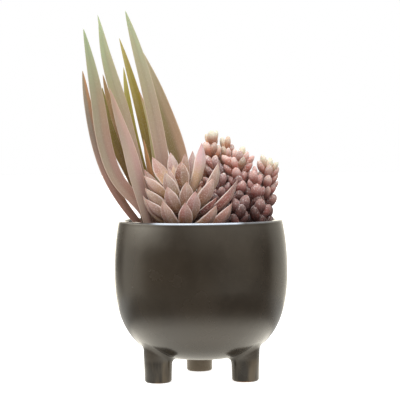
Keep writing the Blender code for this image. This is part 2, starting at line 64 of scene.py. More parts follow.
ALOE = {
    "01": ((-33, 9), ((-52, 12, 116), (-61, 14, 132), (-69, 17, 154), (-76, 20, 186), (-79, 23, 206)), 8.0, 2.4, (0.45, -0.85, 0.3), 0.8, 2.6),
    "02": ((-27, -1), ((-41, -2, 116), (-53, -2, 130), (-62, -4, 152), (-67, -8, 184), (-75, -16, 231)), 10.4, 2.6, (0.3, -0.95, 0.2), 1.4, 2.3),
    "03": ((-27, 4), ((-42, 3, 138), (-53, 2, 183), (-61, 1, 212), (-66, 0, 238)), 10.4, 2.6, (0.25, -0.95, 0.1), 1.3, 2.5),
    "04": ((-27, 10), ((-42, 12, 138), (-54, 14, 183), (-68, 18, 243)), 7.0, 2.2, (0.2, -0.95, 0.1), 0.9, 2.6),
    "05": ((-31, 19), ((-46, 24, 141), (-57, 28, 169), (-66, 34, 204)), 6.5, 2.2, (0.2, -0.95, 0.1), 0.8, 2.4),
    "06": ((-32, -7), ((-37, -9, 116), (-42, -13, 136), (-46, -15, 152), (-51, -18, 168), (-58, -24, 192)), 9.2, 2.8, (-0.15, 0.95, 0.25), 1.5, 1.7),
    "07": ((-35, 15), ((-46, 14, 134), (-56, 13, 154), (-65, 12, 194)), 7.5, 2.2, (0.2, -0.95, 0.1), 0.9, 2.4),
    "08": ((-20, 15), ((-30, 18, 135), (-40, 21, 178), (-54, 25, 228)), 7.6, 2.5, (0.2, -0.95, 0.1), 1.2, 2.0),
    "09": ((-23, 22), ((-40, 29, 141), (-48, 34, 179), (-52, 39, 209)), 6.0, 2.2, (0.1, -1.0, 0.1), 0.8, 2.4),
    "10": ((-18, 3), ((-25, 1, 145), (-35, -4, 196), (-48, -10, 243)), 9.8, 2.7, (0.25, -0.95, 0.1), 1.3, 2.5),
    "11": ((-9, 10), ((-12, 10, 138), (-26, 12, 183), (-42, 16, 224)), 12.0, 2.8, (-0.1, -1.0, 0.05), 2.4, 2.4),
    "12": ((-17, 9), ((-28, 10, 135), (-33, 11, 167), (-40, 12, 191)), 4.5, 2.0, (0.1, -1.0, 0.1), 0.5, 2.2),
    "13": ((-23, -2), ((-28, -2, 118), (-33, -3, 138), (-37, -4, 159)), 4.5, 2.0, (-0.3, -0.95, 0.1), 0.4, 2.2),
}

ROSETTE_AXIS = (-9.5, -18.0)
STEM_R, STEM_TOP = 4.2, 124.0
# each leaf's tip: azimuth, reach from the stem and height, then width, length and how much it sags
# before it turns up
ROSETTE = (
    (168, 22, 147, 9.5, 29, 0.08), (128, 16, 150, 8, 27, 0.08), (92, 4, 149, 6, 25, 0.08), (70, 14, 151, 7.5, 36, 0.08),
    (-110, 7, 144, 9, 22, 0.08), (-165, 8, 142, 5, 19, 0.08), (-140, 14, 140, 5, 22, 0.08), (-10, 11, 156, 7.8, 33, 0.08),
    (-135, 18, 137, 9, 25, 0.08), (-175, 27, 135, 8.5, 27, 0.10), (155, 30, 139, 7, 35, 0.10), (-165, 27, 127, 8.5, 27, 0.12),
    (-130, 18, 128, 9, 23, 0.10), (-86, 15, 131, 9, 23, 0.10), (-71, 20, 125, 9, 25, 0.12), (-15, 22, 143, 7.5, 31, 0.20),
    (-36, 22, 133, 9, 27, 0.12), (-15, 35, 132, 7.0, 38, 0.20),
    (-90, 21, 118, 8.5, 23, 0.14), (-131, 22, 119, 8.5, 26, 0.16), (-160, 27, 120, 8.5, 25, 0.18), (175, 28, 122, 6, 31, 0.18),
    (-45, 28, 116, 8, 26, 0.24), (-21, 32, 117, 8.5, 31, 0.24), (-36, 25, 121, 5, 23, 0.14),
    (18, 12, 121, 6.5, 18, 0.10), (48, 15, 128, 6, 20, 0.08), (60, 19, 124, 7, 22, 0.10), (105, 16, 138, 7, 23, 0.08),
    (130, 19, 124, 7, 22, 0.10), (65, 17, 113, 7, 19, 0.12), (100, 17, 114, 7, 20, 0.12),
)

# foot and top of each stem, then across, height and radius of the round ends of its front beads
SEDUM = {
    "1": ((8, 3), (8, 3, 154), ((8, 161, 3.0), (11, 162, 2.2), (5, 160, 1.9), (5, 153, 3.3), (12, 151, 2.8), (10, 145, 2.5), (4, 131, 2.4), (-0.2, 127.8, 3.5))),
    "2": ((20, 10), (18, 8, 150), ((15, 157, 2.3), (19, 158, 2.1), (19, 150, 2.2), (16, 151, 2.3), (13, 147, 2.4), (14, 141, 2.5), (20, 144, 2.4), (19, 138, 2.6))),
    "3": ((24, -5), (26, -6, 142), ((23, 149, 2.3), (28, 151, 2.4), (30, 147, 2.8), (34, 145, 2.3), (23, 143, 3.0), (17, 145, 2.8), (32, 141, 2.9), (24, 136, 3.2), (18, 139, 2.7), (21, 131, 2.7), (27, 127, 3.7), (29, 135, 2.6))),
    "4": ((34, -5), (36, -6, 129), ((36, 138, 2.0), (35, 134, 3.1), (39, 132, 2.6), (37, 124, 4.0), (41, 124, 2.4), (33, 129, 2.4))),
    "5": ((40, 6), (45, 5, 136), ((42, 145, 2.4), (40, 141, 2.7), (47, 143, 2.4), (51, 141, 2.0), (46, 138, 2.6), (51, 137, 2.2), (50, 133, 2.3), (45, 131, 2.9), (51, 128, 1.9), (49, 126, 2.6), (45, 124, 2.4), (48, 118, 3.3))),
    "6": ((24, -22), (26, -22, 112), ((29, 118, 3.3), (23, 116, 3.1), (28, 108, 3.2), (22, 107, 2.6))),
    "7": ((36, -15), (38, -14, 110), ((39, 115, 3.6), (44, 112, 2.9), (40, 107, 2.9))),
    "8": ((13, -8), (12, -8, 136), ((10, 144, 2.5), (5, 145, 2.2), (6, 138, 2.2), (5, 131, 2.3), (15, 133, 2.8), (14, 124, 2.8), (9, 124, 2.8), (18, 127, 2.5))),
    "9": ((28, 8), (30, 8, 128), ()),
    "10": ((7, 16), (6, 16, 141), ()),
}
BEAD_R, BEAD_Z = (3.4, 2.3), (104.0, 156.0)
BEAD_LEANS = ((-9.0, 0.0, 25.0, 45.0), (76.0, 68.0, 53.0, 42.0))  # by depth under the stem's top
GOLDEN = 137.508


# ---- small mathematics ----


def unit(v):
    v = np.asarray(v, float)
    return v / np.linalg.norm(v)


def bezier(points):
    p = np.asarray(points, float)
    n = len(p) - 1
    return lambda t: sum(math.comb(n, i) * (1.0 - t) ** (n - i) * t**i * p[i] for i in range(n + 1))


def through(points):
    """A natural cubic spline through the points, as a function of 0 to 1."""
    p = np.asarray(points, float)
    n = len(p)
    knots = np.concatenate(([0.0], np.cumsum(np.linalg.norm(np.diff(p, axis=0), axis=1))))
    knots /= knots[-1]
    step = np.diff(knots)
    rows, sums = np.eye(n), np.zeros_like(p)
    for i in range(1, n - 1):
        rows[i, i - 1 : i + 2] = step[i - 1], 2.0 * (step[i - 1] + step[i]), step[i]
        sums[i] = 6.0 * ((p[i + 1] - p[i]) / step[i] - (p[i] - p[i - 1]) / step[i - 1])
    bend = np.linalg.solve(rows, sums)

    def place(t):
        i = min(max(int(np.searchsorted(knots, t, side="right")) - 1, 0), n - 2)
        h, u, v = step[i], t - knots[i], knots[i + 1] - t
        return (bend[i] * v**3 + bend[i + 1] * u**3) / (6.0 * h) + (p[i] / h - bend[i] * h / 6.0) * v + (p[i + 1] / h - bend[i + 1] * h / 6.0) * u

    return place


def heading(place, t):
    return unit(place(min(1.0, t + 0.01)) - place(max(0.0, t - 0.01)))


def smooth(a, b, x):
    t = np.clip((np.asarray(x, float) - a) / (b - a), 0.0, 1.0)
    return t * t * (3.0 - 2.0 * t)


def lin(r, g, b):
    """A screen colour, 0 to 255, as linear light."""
    c = np.array((r, g, b), float) / 255.0
    return np.where(c <= 0.04045, c / 12.92, ((c + 0.055) / 1.055) ** 2.4)


def along_keys(keys, t):
    """Colour keys (place, linear colour) read at each t."""
    at = [k[0] for k in keys]
    return np.stack([np.interp(t, at, [k[1][i] for k in keys]) for i in range(3)], -1)


def blend(a, b, share):
    share = np.asarray(share, float)[..., None]
    return a * (1.0 - share) + b * share


def bowl_outer(z):
    if z >= POT_BELLY_Z:
        up = (z - POT_BELLY_Z) / (POT_RIM_Z - POT_BELLY_Z)
        return POT_R - (POT_R - POT_RIM_R) * up**2
    down = min(1.0, (POT_BELLY_Z - z) / (POT_BELLY_Z - POT_BASE_Z))
    return POT_R * (1.0 - down**BELLY_EXP) ** (1.0 / BELLY_ROOT)


def bowl_inner(z):
    if z >= POT_BELLY_Z:
        return bowl_outer(z) - POT_WALL
    floor = POT_BASE_Z + POT_FLOOR
    down = min(1.0, (POT_BELLY_Z - z) / (POT_BELLY_Z - floor))
    return (POT_R - POT_WALL) * (1.0 - down**BELLY_EXP) ** (1.0 / BELLY_ROOT)


def soil_height(x, y):
    r = math.hypot(x, y) / bowl_inner(SOIL_Z)
    return SOIL_Z + SOIL_CROWN * np.interp(r, (0.0, 0.35, 0.8, 1.0), (1.0, 0.8, 0.25, 0.0))


# ---- mesh making ----


class Form:
    """Collects closed shells, with the values that the materials read, into one mesh."""

    def __init__(self):
        self.points, self.faces, self.tint, self.flow = [], [], [], []
        self.count = 0

    def add(self, points, faces, tint, flow):
        points = np.asarray(points, float).reshape(-1, 3)
        n = len(points)
        self.points.append(points)
        self.faces += [tuple(i + self.count for i in f) for f in faces]
        self.tint.append(np.broadcast_to(np.asarray(tint, float).reshape(-1, 3), (n, 3)))
        self.flow.append(np.broadcast_to(np.asarray(flow, float).reshape(-1, 3), (n, 3)))
        self.count += n

    def piece(self, name, finish, sharp=None):
        points = (np.concatenate(self.points) + AXIS) * MM
        mesh = bpy.data.meshes.new(name)
        mesh.from_pydata(points.tolist(), [], self.faces)
        tint = np.concatenate(self.tint)
        colour = mesh.attributes.new("tint", "FLOAT_COLOR", "POINT")
        colour.data.foreach_set("color", np.concatenate((tint, np.ones((len(tint), 1))), 1).astype(np.float32).ravel())
        flow = mesh.attributes.new("flow", "FLOAT_VECTOR", "POINT")
        flow.data.foreach_set("vector", np.concatenate(self.flow).astype(np.float32).ravel())
        bm = bmesh.new()
        bm.from_mesh(mesh)
        bmesh.ops.recalc_face_normals(bm, faces=bm.faces)
        bm.to_mesh(mesh)
        bm.free()
        mesh.shade_smooth()
        if sharp:
            mesh.set_sharp_from_angle(angle=math.radians(sharp))
        mesh.materials.append(finish)
        obj = bpy.data.objects.new(name, mesh)
        bpy.context.scene.collection.objects.link(obj)
        return obj


def tube_faces(rings, around):
    """Faces of a closed loft: rings of points, then one point for each end."""
    faces = []
    for i in range(rings - 1):
        a, b = i * around, (i + 1) * around
        faces += [(a + j, a + (j + 1) % around, b + (j + 1) % around, b + j) for j in range(around)]
    low, high = rings * around, rings * around + 1
    last = (rings - 1) * around
    faces += [((j + 1) % around, j, low) for j in range(around)]
    faces += [(last + j, last + (j + 1) % around, high) for j in range(around)]
    return faces


def leaf(form, spine, width, thick, facing, channel, taper, tint, seed, stations=64, around=32, ends=(0.0, 0.992), back=0.62, keel=None, margin=0.25, twist=0.0, swell=None, crease=0.0):
    """A leaf lofted along the spine. keel(t) is how angular its back is, margin how thin its edges
    are, tint(t, across, face) its colour and crease the depth of the line down its face."""
    rng = np.random.default_rng(seed)
    facing = unit(facing)
    wave = rng.uniform(0, math.tau, 4)
    t = ends[0] + (ends[1] - ends[0]) * (np.arange(stations) / (stations - 1)) ** 0.9
    phi = math.tau * np.arange(around) / around
    x, s = np.cos(phi), np.sin(phi)
    grid, length = np.zeros((stations, around, 3)), 0.0
    run = np.zeros(stations)
    before = None
    for i, ti in enumerate(t):
        centre, along = spine(ti), heading(spine, ti)
        if before is not None:
            length += float(np.linalg.norm(centre - before))
        before = centre
        run[i] = length
        up = unit(facing - np.dot(facing, along) * along)
        side = np.cross(along, up)
        turn = twist * ti
        up, side = up * math.cos(turn) + side * math.sin(turn), side * math.cos(turn) - up * math.sin(turn)
        share = taper(ti)
        a = 0.5 * width * share * (1.0 + 0.018 * math.sin(9.0 * ti + wave[0]) + 0.012 * math.sin(23.0 * ti + wave[1]))
        h = thick * (0.25 + 0.75 * share) * min(1.0, 0.35 + share)
        if swell is not None:
            h *= swell(ti)
        c = channel * share
        k = keel(ti) if keel else 0.0
        ellipse = np.abs(s) ** (1.0 + margin)
        roof = (1.0 - k) * ellipse + k * (1.0 - np.abs(x)) ** 0.92
        high = np.where(s > 0, h * (1.0 - back) * ellipse - crease * share * np.exp(-((x / 0.16) ** 2)) * (s > 0), -h * back * roof)
        ripple = 0.02 * width * share * math.sin(14.0 * ti + wave[2]) * np.abs(x) ** 3 * np.sign(x)
        lift = c * (x * x - 0.5) + high + ripple
        grid[i] = centre + np.outer(a * x, side) + np.outer(lift, up)
    ti = np.repeat(t, around)
    xi, si = np.tile(x, stations), np.tile(s, stations)
    colour = tint(ti, xi, si)
    flow = np.stack((0.5 * width * xi + 40.0 * seed, np.repeat(run, around), np.where(si >= 0, 3.0, -3.0) + 0 * xi), -1)
    foot, tip = grid[0].mean(0), spine(1.0)
    points = np.concatenate((grid.reshape(-1, 3), (foot, tip)))
    colour = np.concatenate((colour, colour[:around].mean(0, keepdims=True), colour[-around:].mean(0, keepdims=True)))
    flow = np.concatenate((flow, flow[:1], flow[-1:]))
    form.add(points, tube_faces(stations, around), colour, flow)


def turned(profile, steps):
    """Points and faces of a profile of (radius, height), axis to axis, turned round Z."""
    inner = profile[1:-1]
    ang = math.tau * np.arange(steps) / steps
    ring = np.array([[(r * math.cos(a), r * math.sin(a), z) for a in ang] for r, z in inner])
    points = np.concatenate((ring.reshape(-1, 3), ((0, 0, profile[0][1]), (0, 0, profile[-1][1]))))
    return points, tube_faces(len(inner), steps)


# ---- node helpers ----


class Nodes:
    def __init__(self, name):
        self.mat = bpy.data.materials.new(name)
        self.mat.use_nodes = True
        self.tree = self.mat.node_tree
        self.shader = self.tree.nodes["Principled BSDF"]

    def new(self, kind, **values):
        node = self.tree.nodes.new(kind)
        for key, value in values.items():
            setattr(node, key, value)
        return node

    def link(self, a, b):
        self.tree.links.new(a, b)

    def set(self, node, **values):
        for key, value in values.items():
            node.inputs[key.replace("_", " ")].default_value = value
        return node

    def attribute(self, name):
        node = self.new("ShaderNodeAttribute", attribute_name=name)
        return node.outputs["Color"] if name == "tint" else node.outputs["Vector"]

    def scaled(self, vector, scale, offset=(0, 0, 0)):
        node = self.new("ShaderNodeMapping")
        node.inputs["Scale"].default_value = scale
        node.inputs["Location"].default_value = offset
        self.link(vector, node.inputs["Vector"])
        return node.outputs["Vector"]

    def noise(self, vector, scale, detail=3.0, rough=0.5, distort=0.0):
        node = self.new("ShaderNodeTexNoise")
        node.inputs["Scale"].default_value = scale
        node.inputs["Detail"].default_value = detail
        node.inputs["Roughness"].default_value = rough
        node.inputs["Distortion"].default_value = distort
        self.link(vector, node.inputs["Vector"])
        return node.outputs["Fac"]

    def ramp(self, fac, low, high, out=(0.0, 1.0)):
        node = self.new("ShaderNodeMapRange", interpolation_type="SMOOTHSTEP")
        self.link(fac, node.inputs["Value"])
        node.inputs["From Min"].default_value = low
        node.inputs["From Max"].default_value = high
        node.inputs["To Min"].default_value = out[0]
        node.inputs["To Max"].default_value = out[1]
        return node.outputs["Result"]

    def math(self, operation, a, b=None):
        node = self.new("ShaderNodeMath", operation=operation)
        for value, socket in ((a, node.inputs[0]), (b, node.inputs[1])):
            if value is None:
                continue
            if isinstance(value, (int, float)):
                socket.default_value = value
            else:
                self.link(value, socket)
        return node.outputs[0]

    def mix(self, fac, a, b, kind="MIX"):
        node = self.new("ShaderNodeMix", data_type="RGBA", blend_type=kind)
        for value, socket in ((fac, node.inputs[0]), (a, node.inputs[6]), (b, node.inputs[7])):
            if isinstance(value, (int, float)):
                socket.default_value = value
            elif isinstance(value, (tuple, list, np.ndarray)):
                socket.default_value = (*[float(v) for v in value], 1.0)
            else:
                self.link(value, socket)
        return node.outputs[2]

    def painted_edge_sheen(self, blend, low, high, most):
        """How much a surface turns away from the eye, for a painted sheen that pales its outlines like a powdery bloom.
        """
        node = self.new("ShaderNodeLayerWeight")
        node.inputs["Blend"].default_value = blend
        return self.ramp(node.outputs["Facing"], low, high, (0.0, most))

    def bump(self, height, strength, distance, under=None):
        node = self.new("ShaderNodeBump")
        node.inputs["Strength"].default_value = strength
        node.inputs["Distance"].default_value = distance
        self.link(height, node.inputs["Height"])
        if under is not None:
            self.link(under, node.inputs["Normal"])
        return node.outputs["Normal"]


def glaze_material():
    """Satin dark brown glaze: slow mottling, small iron specks, a pale lip with a painted highlight along its front,
    painted light and shade on the feet, bare clay feet.
    """
    n = Nodes("satin_brown_glaze")
    where = n.new("ShaderNodeTexCoord").outputs["Object"]
    part = n.new("ShaderNodeSeparateXYZ")
    n.link(where, part.inputs[0])
    z = part.outputs["Z"]
    slow = n.noise(where, 28.0, 2.0, 0.45)
    mid = n.noise(where, 120.0, 4.0, 0.55)
    body = n.mix(n.ramp(slow, 0.34, 0.68), lin(50, 42, 33), lin(59, 50, 39))
    body = n.mix(n.ramp(mid, 0.42, 0.72, (0.0, 0.25)), body, lin(66, 57, 47))
    speck = n.new("ShaderNodeTexVoronoi", feature="F1")
    speck.inputs["Scale"].default_value = 330.0
    n.link(where, speck.inputs["Vector"])
    dots = n.ramp(speck.outputs["Distance"], 0.05, 0.18, (0.20, 0.0))
    body = n.mix(dots, body, lin(36, 27, 22))
    # the lip is painted pale bluish white: a painted highlight along the front of the lip, where the overhead light
    # shines on it, over a glaze that breaks pale here and there round the rim
    y = part.outputs["Y"]
    # front is mostly the mask of the painted highlight along the front of the lip, with patches of pale break round the
    # rim
    front = n.math("MULTIPLY", n.ramp(y, -0.034, -0.047, (0.0, 0.74)), n.ramp(part.outputs["X"], -0.0225, -0.0150))
    front = n.math("MULTIPLY", front, n.ramp(part.outputs["X"], 0.0400, 0.0330))
    front = n.math("ADD", front, n.ramp(n.noise(where, 60.0, 2.0), 0.35, 0.65, (0.0, 0.12)))
    front = n.math("ADD", front, n.ramp(part.outputs["X"], 0.0340, 0.0420, (0.0, 0.07)))
    body = n.mix(n.math("MULTIPLY", n.ramp(z, 0.1038, 0.1048), front), body, lin(222, 234, 248))
    # bare clay under the feet, with the glaze's ragged lower edge
    edge = n.math("ADD", z, n.math("MULTIPLY", n.math("SUBTRACT", n.noise(where, 260.0, 3.0), 0.5), -0.0016))
    patches = n.ramp(n.noise(where, 75.0, 2.0), 0.47, 0.58, (0.12, 1.0))
    bare = n.math("MULTIPLY", n.ramp(edge, 0.0004, 0.0011, (1.0, 0.0)), patches)
    body = n.mix(bare, body, n.mix(n.ramp(mid, 0.35, 0.65), lin(150, 108, 74), lin(176, 142, 108)))
    # the glaze runs down the feet in darker and ruddier streaks; over them painted light and shade: one side of the
    # front-left foot painted lighter and the other darker, and the back foot painted lighter
    runs = n.noise(n.scaled(where, (105.0, 105.0, 26.0), (0.31, 0.0, 0.0)), 1.0, 3.0, 0.55)
    leg = n.ramp(z, 0.0125, 0.0165, (1.0, 0.0))
    lit = n.math("MULTIPLY", n.ramp(part.outputs["X"], -0.0165, -0.0125, (-0.45, 0.65)), n.ramp(part.outputs["X"], 0.0, -0.004))
    lit = n.math("ADD", lit, n.ramp(part.outputs["Y"], 0.010, 0.020, (0.0, 1.60)))
    foot_streaks_and_light = n.mix(n.math("ADD", n.ramp(runs, 0.34, 0.66), lit), lin(36, 30, 23), lin(96, 84, 67))
    # painted light: the back foot paler
    foot_streaks_and_light = n.mix(n.ramp(part.outputs["Y"], 0.010, 0.020), foot_streaks_and_light, lin(118, 104, 84))
    body = n.mix(n.math("MULTIPLY", leg, n.math("SUBTRACT", 1.0, bare)), body, foot_streaks_and_light)
    n.link(body, n.shader.inputs["Base Color"])
    rough = n.math("ADD", n.ramp(slow, 0.3, 0.7, (0.20, 0.28)), n.math("MULTIPLY", n.math("SUBTRACT", mid, 0.5), 0.08))
    rough = n.math("ADD", rough, n.math("MULTIPLY", bare, 0.4))
    n.link(rough, n.shader.inputs["Roughness"])
    waves = n.bump(n.noise(where, 60.0, 2.0, 0.4), 0.30, 0.0006)
    n.link(waves, n.shader.inputs["Normal"])
    n.link(n.math("SUBTRACT", 0.35, n.math("MULTIPLY", leg, 0.22)), n.shader.inputs["Coat Weight"])
    n.shader.inputs["Coat Roughness"].default_value = 0.14
    n.link(waves, n.shader.inputs["Coat Normal"])
    n.link(n.math("SUBTRACT", 0.50, n.math("MULTIPLY", leg, 0.22)), n.shader.inputs["Specular IOR Level"])
    return n.mat


def soil_material():
    n = Nodes("potting_mix")
    where = n.new("ShaderNodeTexCoord").outputs["Object"]
    tint = n.attribute("tint")
    crumb = n.noise(where, 900.0, 5.0, 0.65)
    colour = n.mix(n.ramp(crumb, 0.3, 0.7), n.mix(0.55, tint, (0.01, 0.007, 0.005)), tint)
    n.link(colour, n.shader.inputs["Base Color"])
    n.link(n.ramp(crumb, 0.3, 0.8, (0.75, 0.98)), n.shader.inputs["Roughness"])
    n.link(n.bump(crumb, 0.7, 0.0006), n.shader.inputs["Normal"])
    n.shader.inputs["Specular IOR Level"].default_value = 0.25
    return n.mat


def long_leaf_material():
    """Waxy dusty skin: lengthwise fibres, cloudy tone, rosy flecks and a thin bloom, with a painted sheen at the
    outlines.
    """
    n = Nodes("long_leaf_skin")
    tint, flow = n.attribute("tint"), n.attribute("flow")
    fibre = n.noise(n.scaled(flow, (2.6, 0.05, 0.7)), 1.0, 4.0, 0.6)
    cloud = n.noise(n.scaled(flow, (0.30, 0.06, 1.0)), 1.0, 3.0, 0.55)
    fleck = n.noise(n.scaled(flow, (2.2, 0.55, 1.0)), 1.0, 2.0, 0.6)
    grain = n.noise(n.scaled(flow, (6.0, 3.0, 1.0)), 1.0, 4.0, 0.65)
    colour = n.mix(n.ramp(cloud, 0.32, 0.70, (0.0, 0.30)), tint, n.mix(0.45, tint, lin(168, 126, 112)))
    colour = n.mix(n.ramp(fibre, 0.30, 0.72, (0.0, 0.20)), colour, n.mix(0.5, colour, lin(222, 214, 186)))
    colour = n.mix(n.ramp(fleck, 0.58, 0.72, (0.0, 0.30)), colour, n.mix(0.6, colour, lin(188, 124, 110)))
    dust = n.noise(n.scaled(flow, (1.5, 0.8, 1.0), (5.0, 9.0, 0.0)), 1.0, 4.0, 0.70)
    colour = n.mix(n.ramp(dust, 0.52, 0.68, (0.0, 0.34)), colour, n.mix(0.7, colour, lin(222, 208, 196)))
    colour = n.mix(n.ramp(grain, 0.50, 0.8, (0.0, 0.20)), colour, lin(214, 200, 184))
    # painted sheen: paler where the leaf turns away from the eye
    colour = n.mix(n.painted_edge_sheen(0.30, 0.55, 0.97, 0.35), colour, lin(222, 208, 190))
    n.link(colour, n.shader.inputs["Base Color"])
    n.link(n.ramp(grain, 0.25, 0.75, (0.46, 0.66)), n.shader.inputs["Roughness"])
    low = n.bump(fibre, 0.30, 0.0004)
    n.link(n.bump(grain, 0.22, 0.00016, low), n.shader.inputs["Normal"])
    n.shader.inputs["Subsurface Weight"].default_value = 0.18
    n.shader.inputs["Subsurface Radius"].default_value = (1.0, 0.75, 0.4)
    n.shader.inputs["Subsurface Scale"].default_value = 0.0016
    n.shader.inputs["Specular IOR Level"].default_value = 0.35
    return n.mat


def rosette_material():
    """Powdery pink skin: fine frosting over soft blotches, with a painted sheen at the outlines."""
    n = Nodes("rosette_leaf_skin")
    tint, flow = n.attribute("tint"), n.attribute("flow")
    cloud = n.noise(n.scaled(flow, (0.35, 0.16, 1.0)), 1.0, 3.0, 0.55)
    powder = n.noise(n.scaled(flow, (3.4, 3.0, 1.0)), 1.0, 5.0, 0.72)
    fleck = n.noise(n.scaled(flow, (1.6, 1.0, 1.0)), 1.0, 2.0, 0.55)
    bloom = n.noise(n.scaled(flow, (1.1, 0.9, 1.0), (7.0, 3.0, 0.0)), 1.0, 4.0, 0.70)
    colour = n.mix(n.ramp(cloud, 0.30, 0.70, (0.0, 0.26)), tint, n.mix(0.6, tint, lin(172, 118, 106)))
    colour = n.mix(n.ramp(fleck, 0.56, 0.72, (0.0, 0.25)), colour, n.mix(0.6, colour, lin(150, 92, 84)))
    colour = n.mix(n.ramp(bloom, 0.50, 0.62, (0.0, 0.40)), colour, lin(226, 210, 204))
    colour = n.mix(n.ramp(powder, 0.48, 0.70, (0.0, 0.36)), colour, lin(230, 211, 199))
    # painted sheen: paler where the leaf turns away from the eye
    colour = n.mix(n.painted_edge_sheen(0.30, 0.45, 0.95, 0.40), colour, lin(232, 214, 204))
    n.link(colour, n.shader.inputs["Base Color"])
    n.link(n.ramp(powder, 0.25, 0.75, (0.52, 0.76)), n.shader.inputs["Roughness"])
    n.link(n.bump(powder, 0.35, 0.00018), n.shader.inputs["Normal"])
    n.shader.inputs["Subsurface Weight"].default_value = 0.18
    n.shader.inputs["Subsurface Radius"].default_value = (1.0, 0.5, 0.32)
    n.shader.inputs["Subsurface Scale"].default_value = 0.0022
    n.shader.inputs["Specular IOR Level"].default_value = 0.3
    return n.mat


def bead_material():
    """Frosted plump beads: bloom partly real and partly painted light on the upper side, painted shade beneath, lower
    down and towards the stem, a painted sheen at the outlines.
    """
    n = Nodes("sedum_bead_skin")
    tint, flow = n.attribute("tint"), n.attribute("flow")
    powder = n.noise(n.scaled(flow, (0.85, 0.85, 0.85)), 1.0, 4.0, 0.72)
    cloud = n.noise(n.scaled(flow, (0.4, 0.4, 0.4)), 1.0, 2.0, 0.5)
    normal = n.new("ShaderNodeSeparateXYZ")
    n.link(n.new("ShaderNodeNewGeometry").outputs["Normal"], normal.inputs[0])
    # upper weights the frost and stipple towards the upper side: partly real bloom, partly painted light on the tops
    upper = n.ramp(normal.outputs["Z"], -0.35, 0.95)
    colour = n.mix(n.ramp(cloud, 0.30, 0.70, (0.0, 0.35)), tint, n.mix(0.5, tint, lin(176, 104, 92)))
    # painted shade: undersides darkened by their normal
    under = n.ramp(normal.outputs["Z"], 0.0, -0.85, (0.0, 0.35))
    colour = n.mix(under, colour, n.mix(0.5, (0.0, 0.0, 0.0), colour, "MULTIPLY"))
    frost = n.math("MULTIPLY", n.ramp(powder, 0.47, 0.56, (0.0, 1.0)), n.math("ADD", n.math("MULTIPLY", upper, 0.44), 0.06))
    place = n.new("ShaderNodeSeparateXYZ")
    n.link(n.new("ShaderNodeTexCoord").outputs["Object"], place.inputs[0])
    # painted shade: the bloom's colour darker on the lower beads
    bloom = n.mix(n.ramp(place.outputs["Z"], 0.104, 0.138), lin(166, 140, 136), lin(238, 226, 220))
    colour = n.mix(frost, colour, bloom)
    scurf = n.new("ShaderNodeTexVoronoi", feature="F1")
    scurf.inputs["Scale"].default_value = 0.80
    n.link(flow, scurf.inputs["Vector"])
    stipple = n.math("MULTIPLY", n.ramp(scurf.outputs["Distance"], 0.24, 0.38, (0.90, 0.0)), n.math("ADD", n.math("MULTIPLY", upper, 0.80), 0.12))
    colour = n.mix(stipple, colour, n.mix(0.35, bloom, lin(255, 248, 244)))
    # painted sheen: outlines paled towards the bloom, most on the upper side
    colour = n.mix(n.math("MULTIPLY", n.painted_edge_sheen(0.35, 0.42, 0.92, 0.80), n.ramp(normal.outputs["Z"], -0.4, 0.4, (0.25, 1.0))), colour, bloom)
    n.link(colour, n.shader.inputs["Base Color"])
    n.link(n.ramp(powder, 0.25, 0.75, (0.42, 0.68)), n.shader.inputs["Roughness"])
    n.link(n.bump(powder, 0.60, 0.00045), n.shader.inputs["Normal"])
    n.shader.inputs["Subsurface Weight"].default_value = 0.20
    n.shader.inputs["Subsurface Radius"].default_value = (1.0, 0.42, 0.28)
    n.shader.inputs["Subsurface Scale"].default_value = 0.0026
    n.shader.inputs["Specular IOR Level"].default_value = 0.4
    return n.mat


def stalk_material():
    n = Nodes("rosette_stalk_bark")
    tint = n.attribute("tint")
    where = n.new("ShaderNodeTexCoord").outputs["Object"]
    rings = n.noise(n.scaled(where, (150.0, 150.0, 700.0)), 1.0, 4.0, 0.6)
    colour = n.mix(n.ramp(rings, 0.3, 0.7), n.mix(0.6, tint, lin(70, 48, 34)), tint)
    n.link(colour, n.shader.inputs["Base Color"])
    n.link(n.ramp(rings, 0.3, 0.7, (0.7, 0.9)), n.shader.inputs["Roughness"])
    n.link(n.bump(rings, 0.5, 0.0005), n.shader.inputs["Normal"])
    return n.mat


def keep(obj, node):
    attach(obj, "root")
    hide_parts(node)
    return obj


# ---- bowl ----


def bowl_normal(z):
    """Outward direction of the bowl's surface at a height, as (radial, up)."""
    d = 0.05
    slope = (bowl_outer(z + d) - bowl_outer(z - d)) / (2 * d)
    n = np.array((1.0, -slope))
    return n / np.linalg.norm(n)


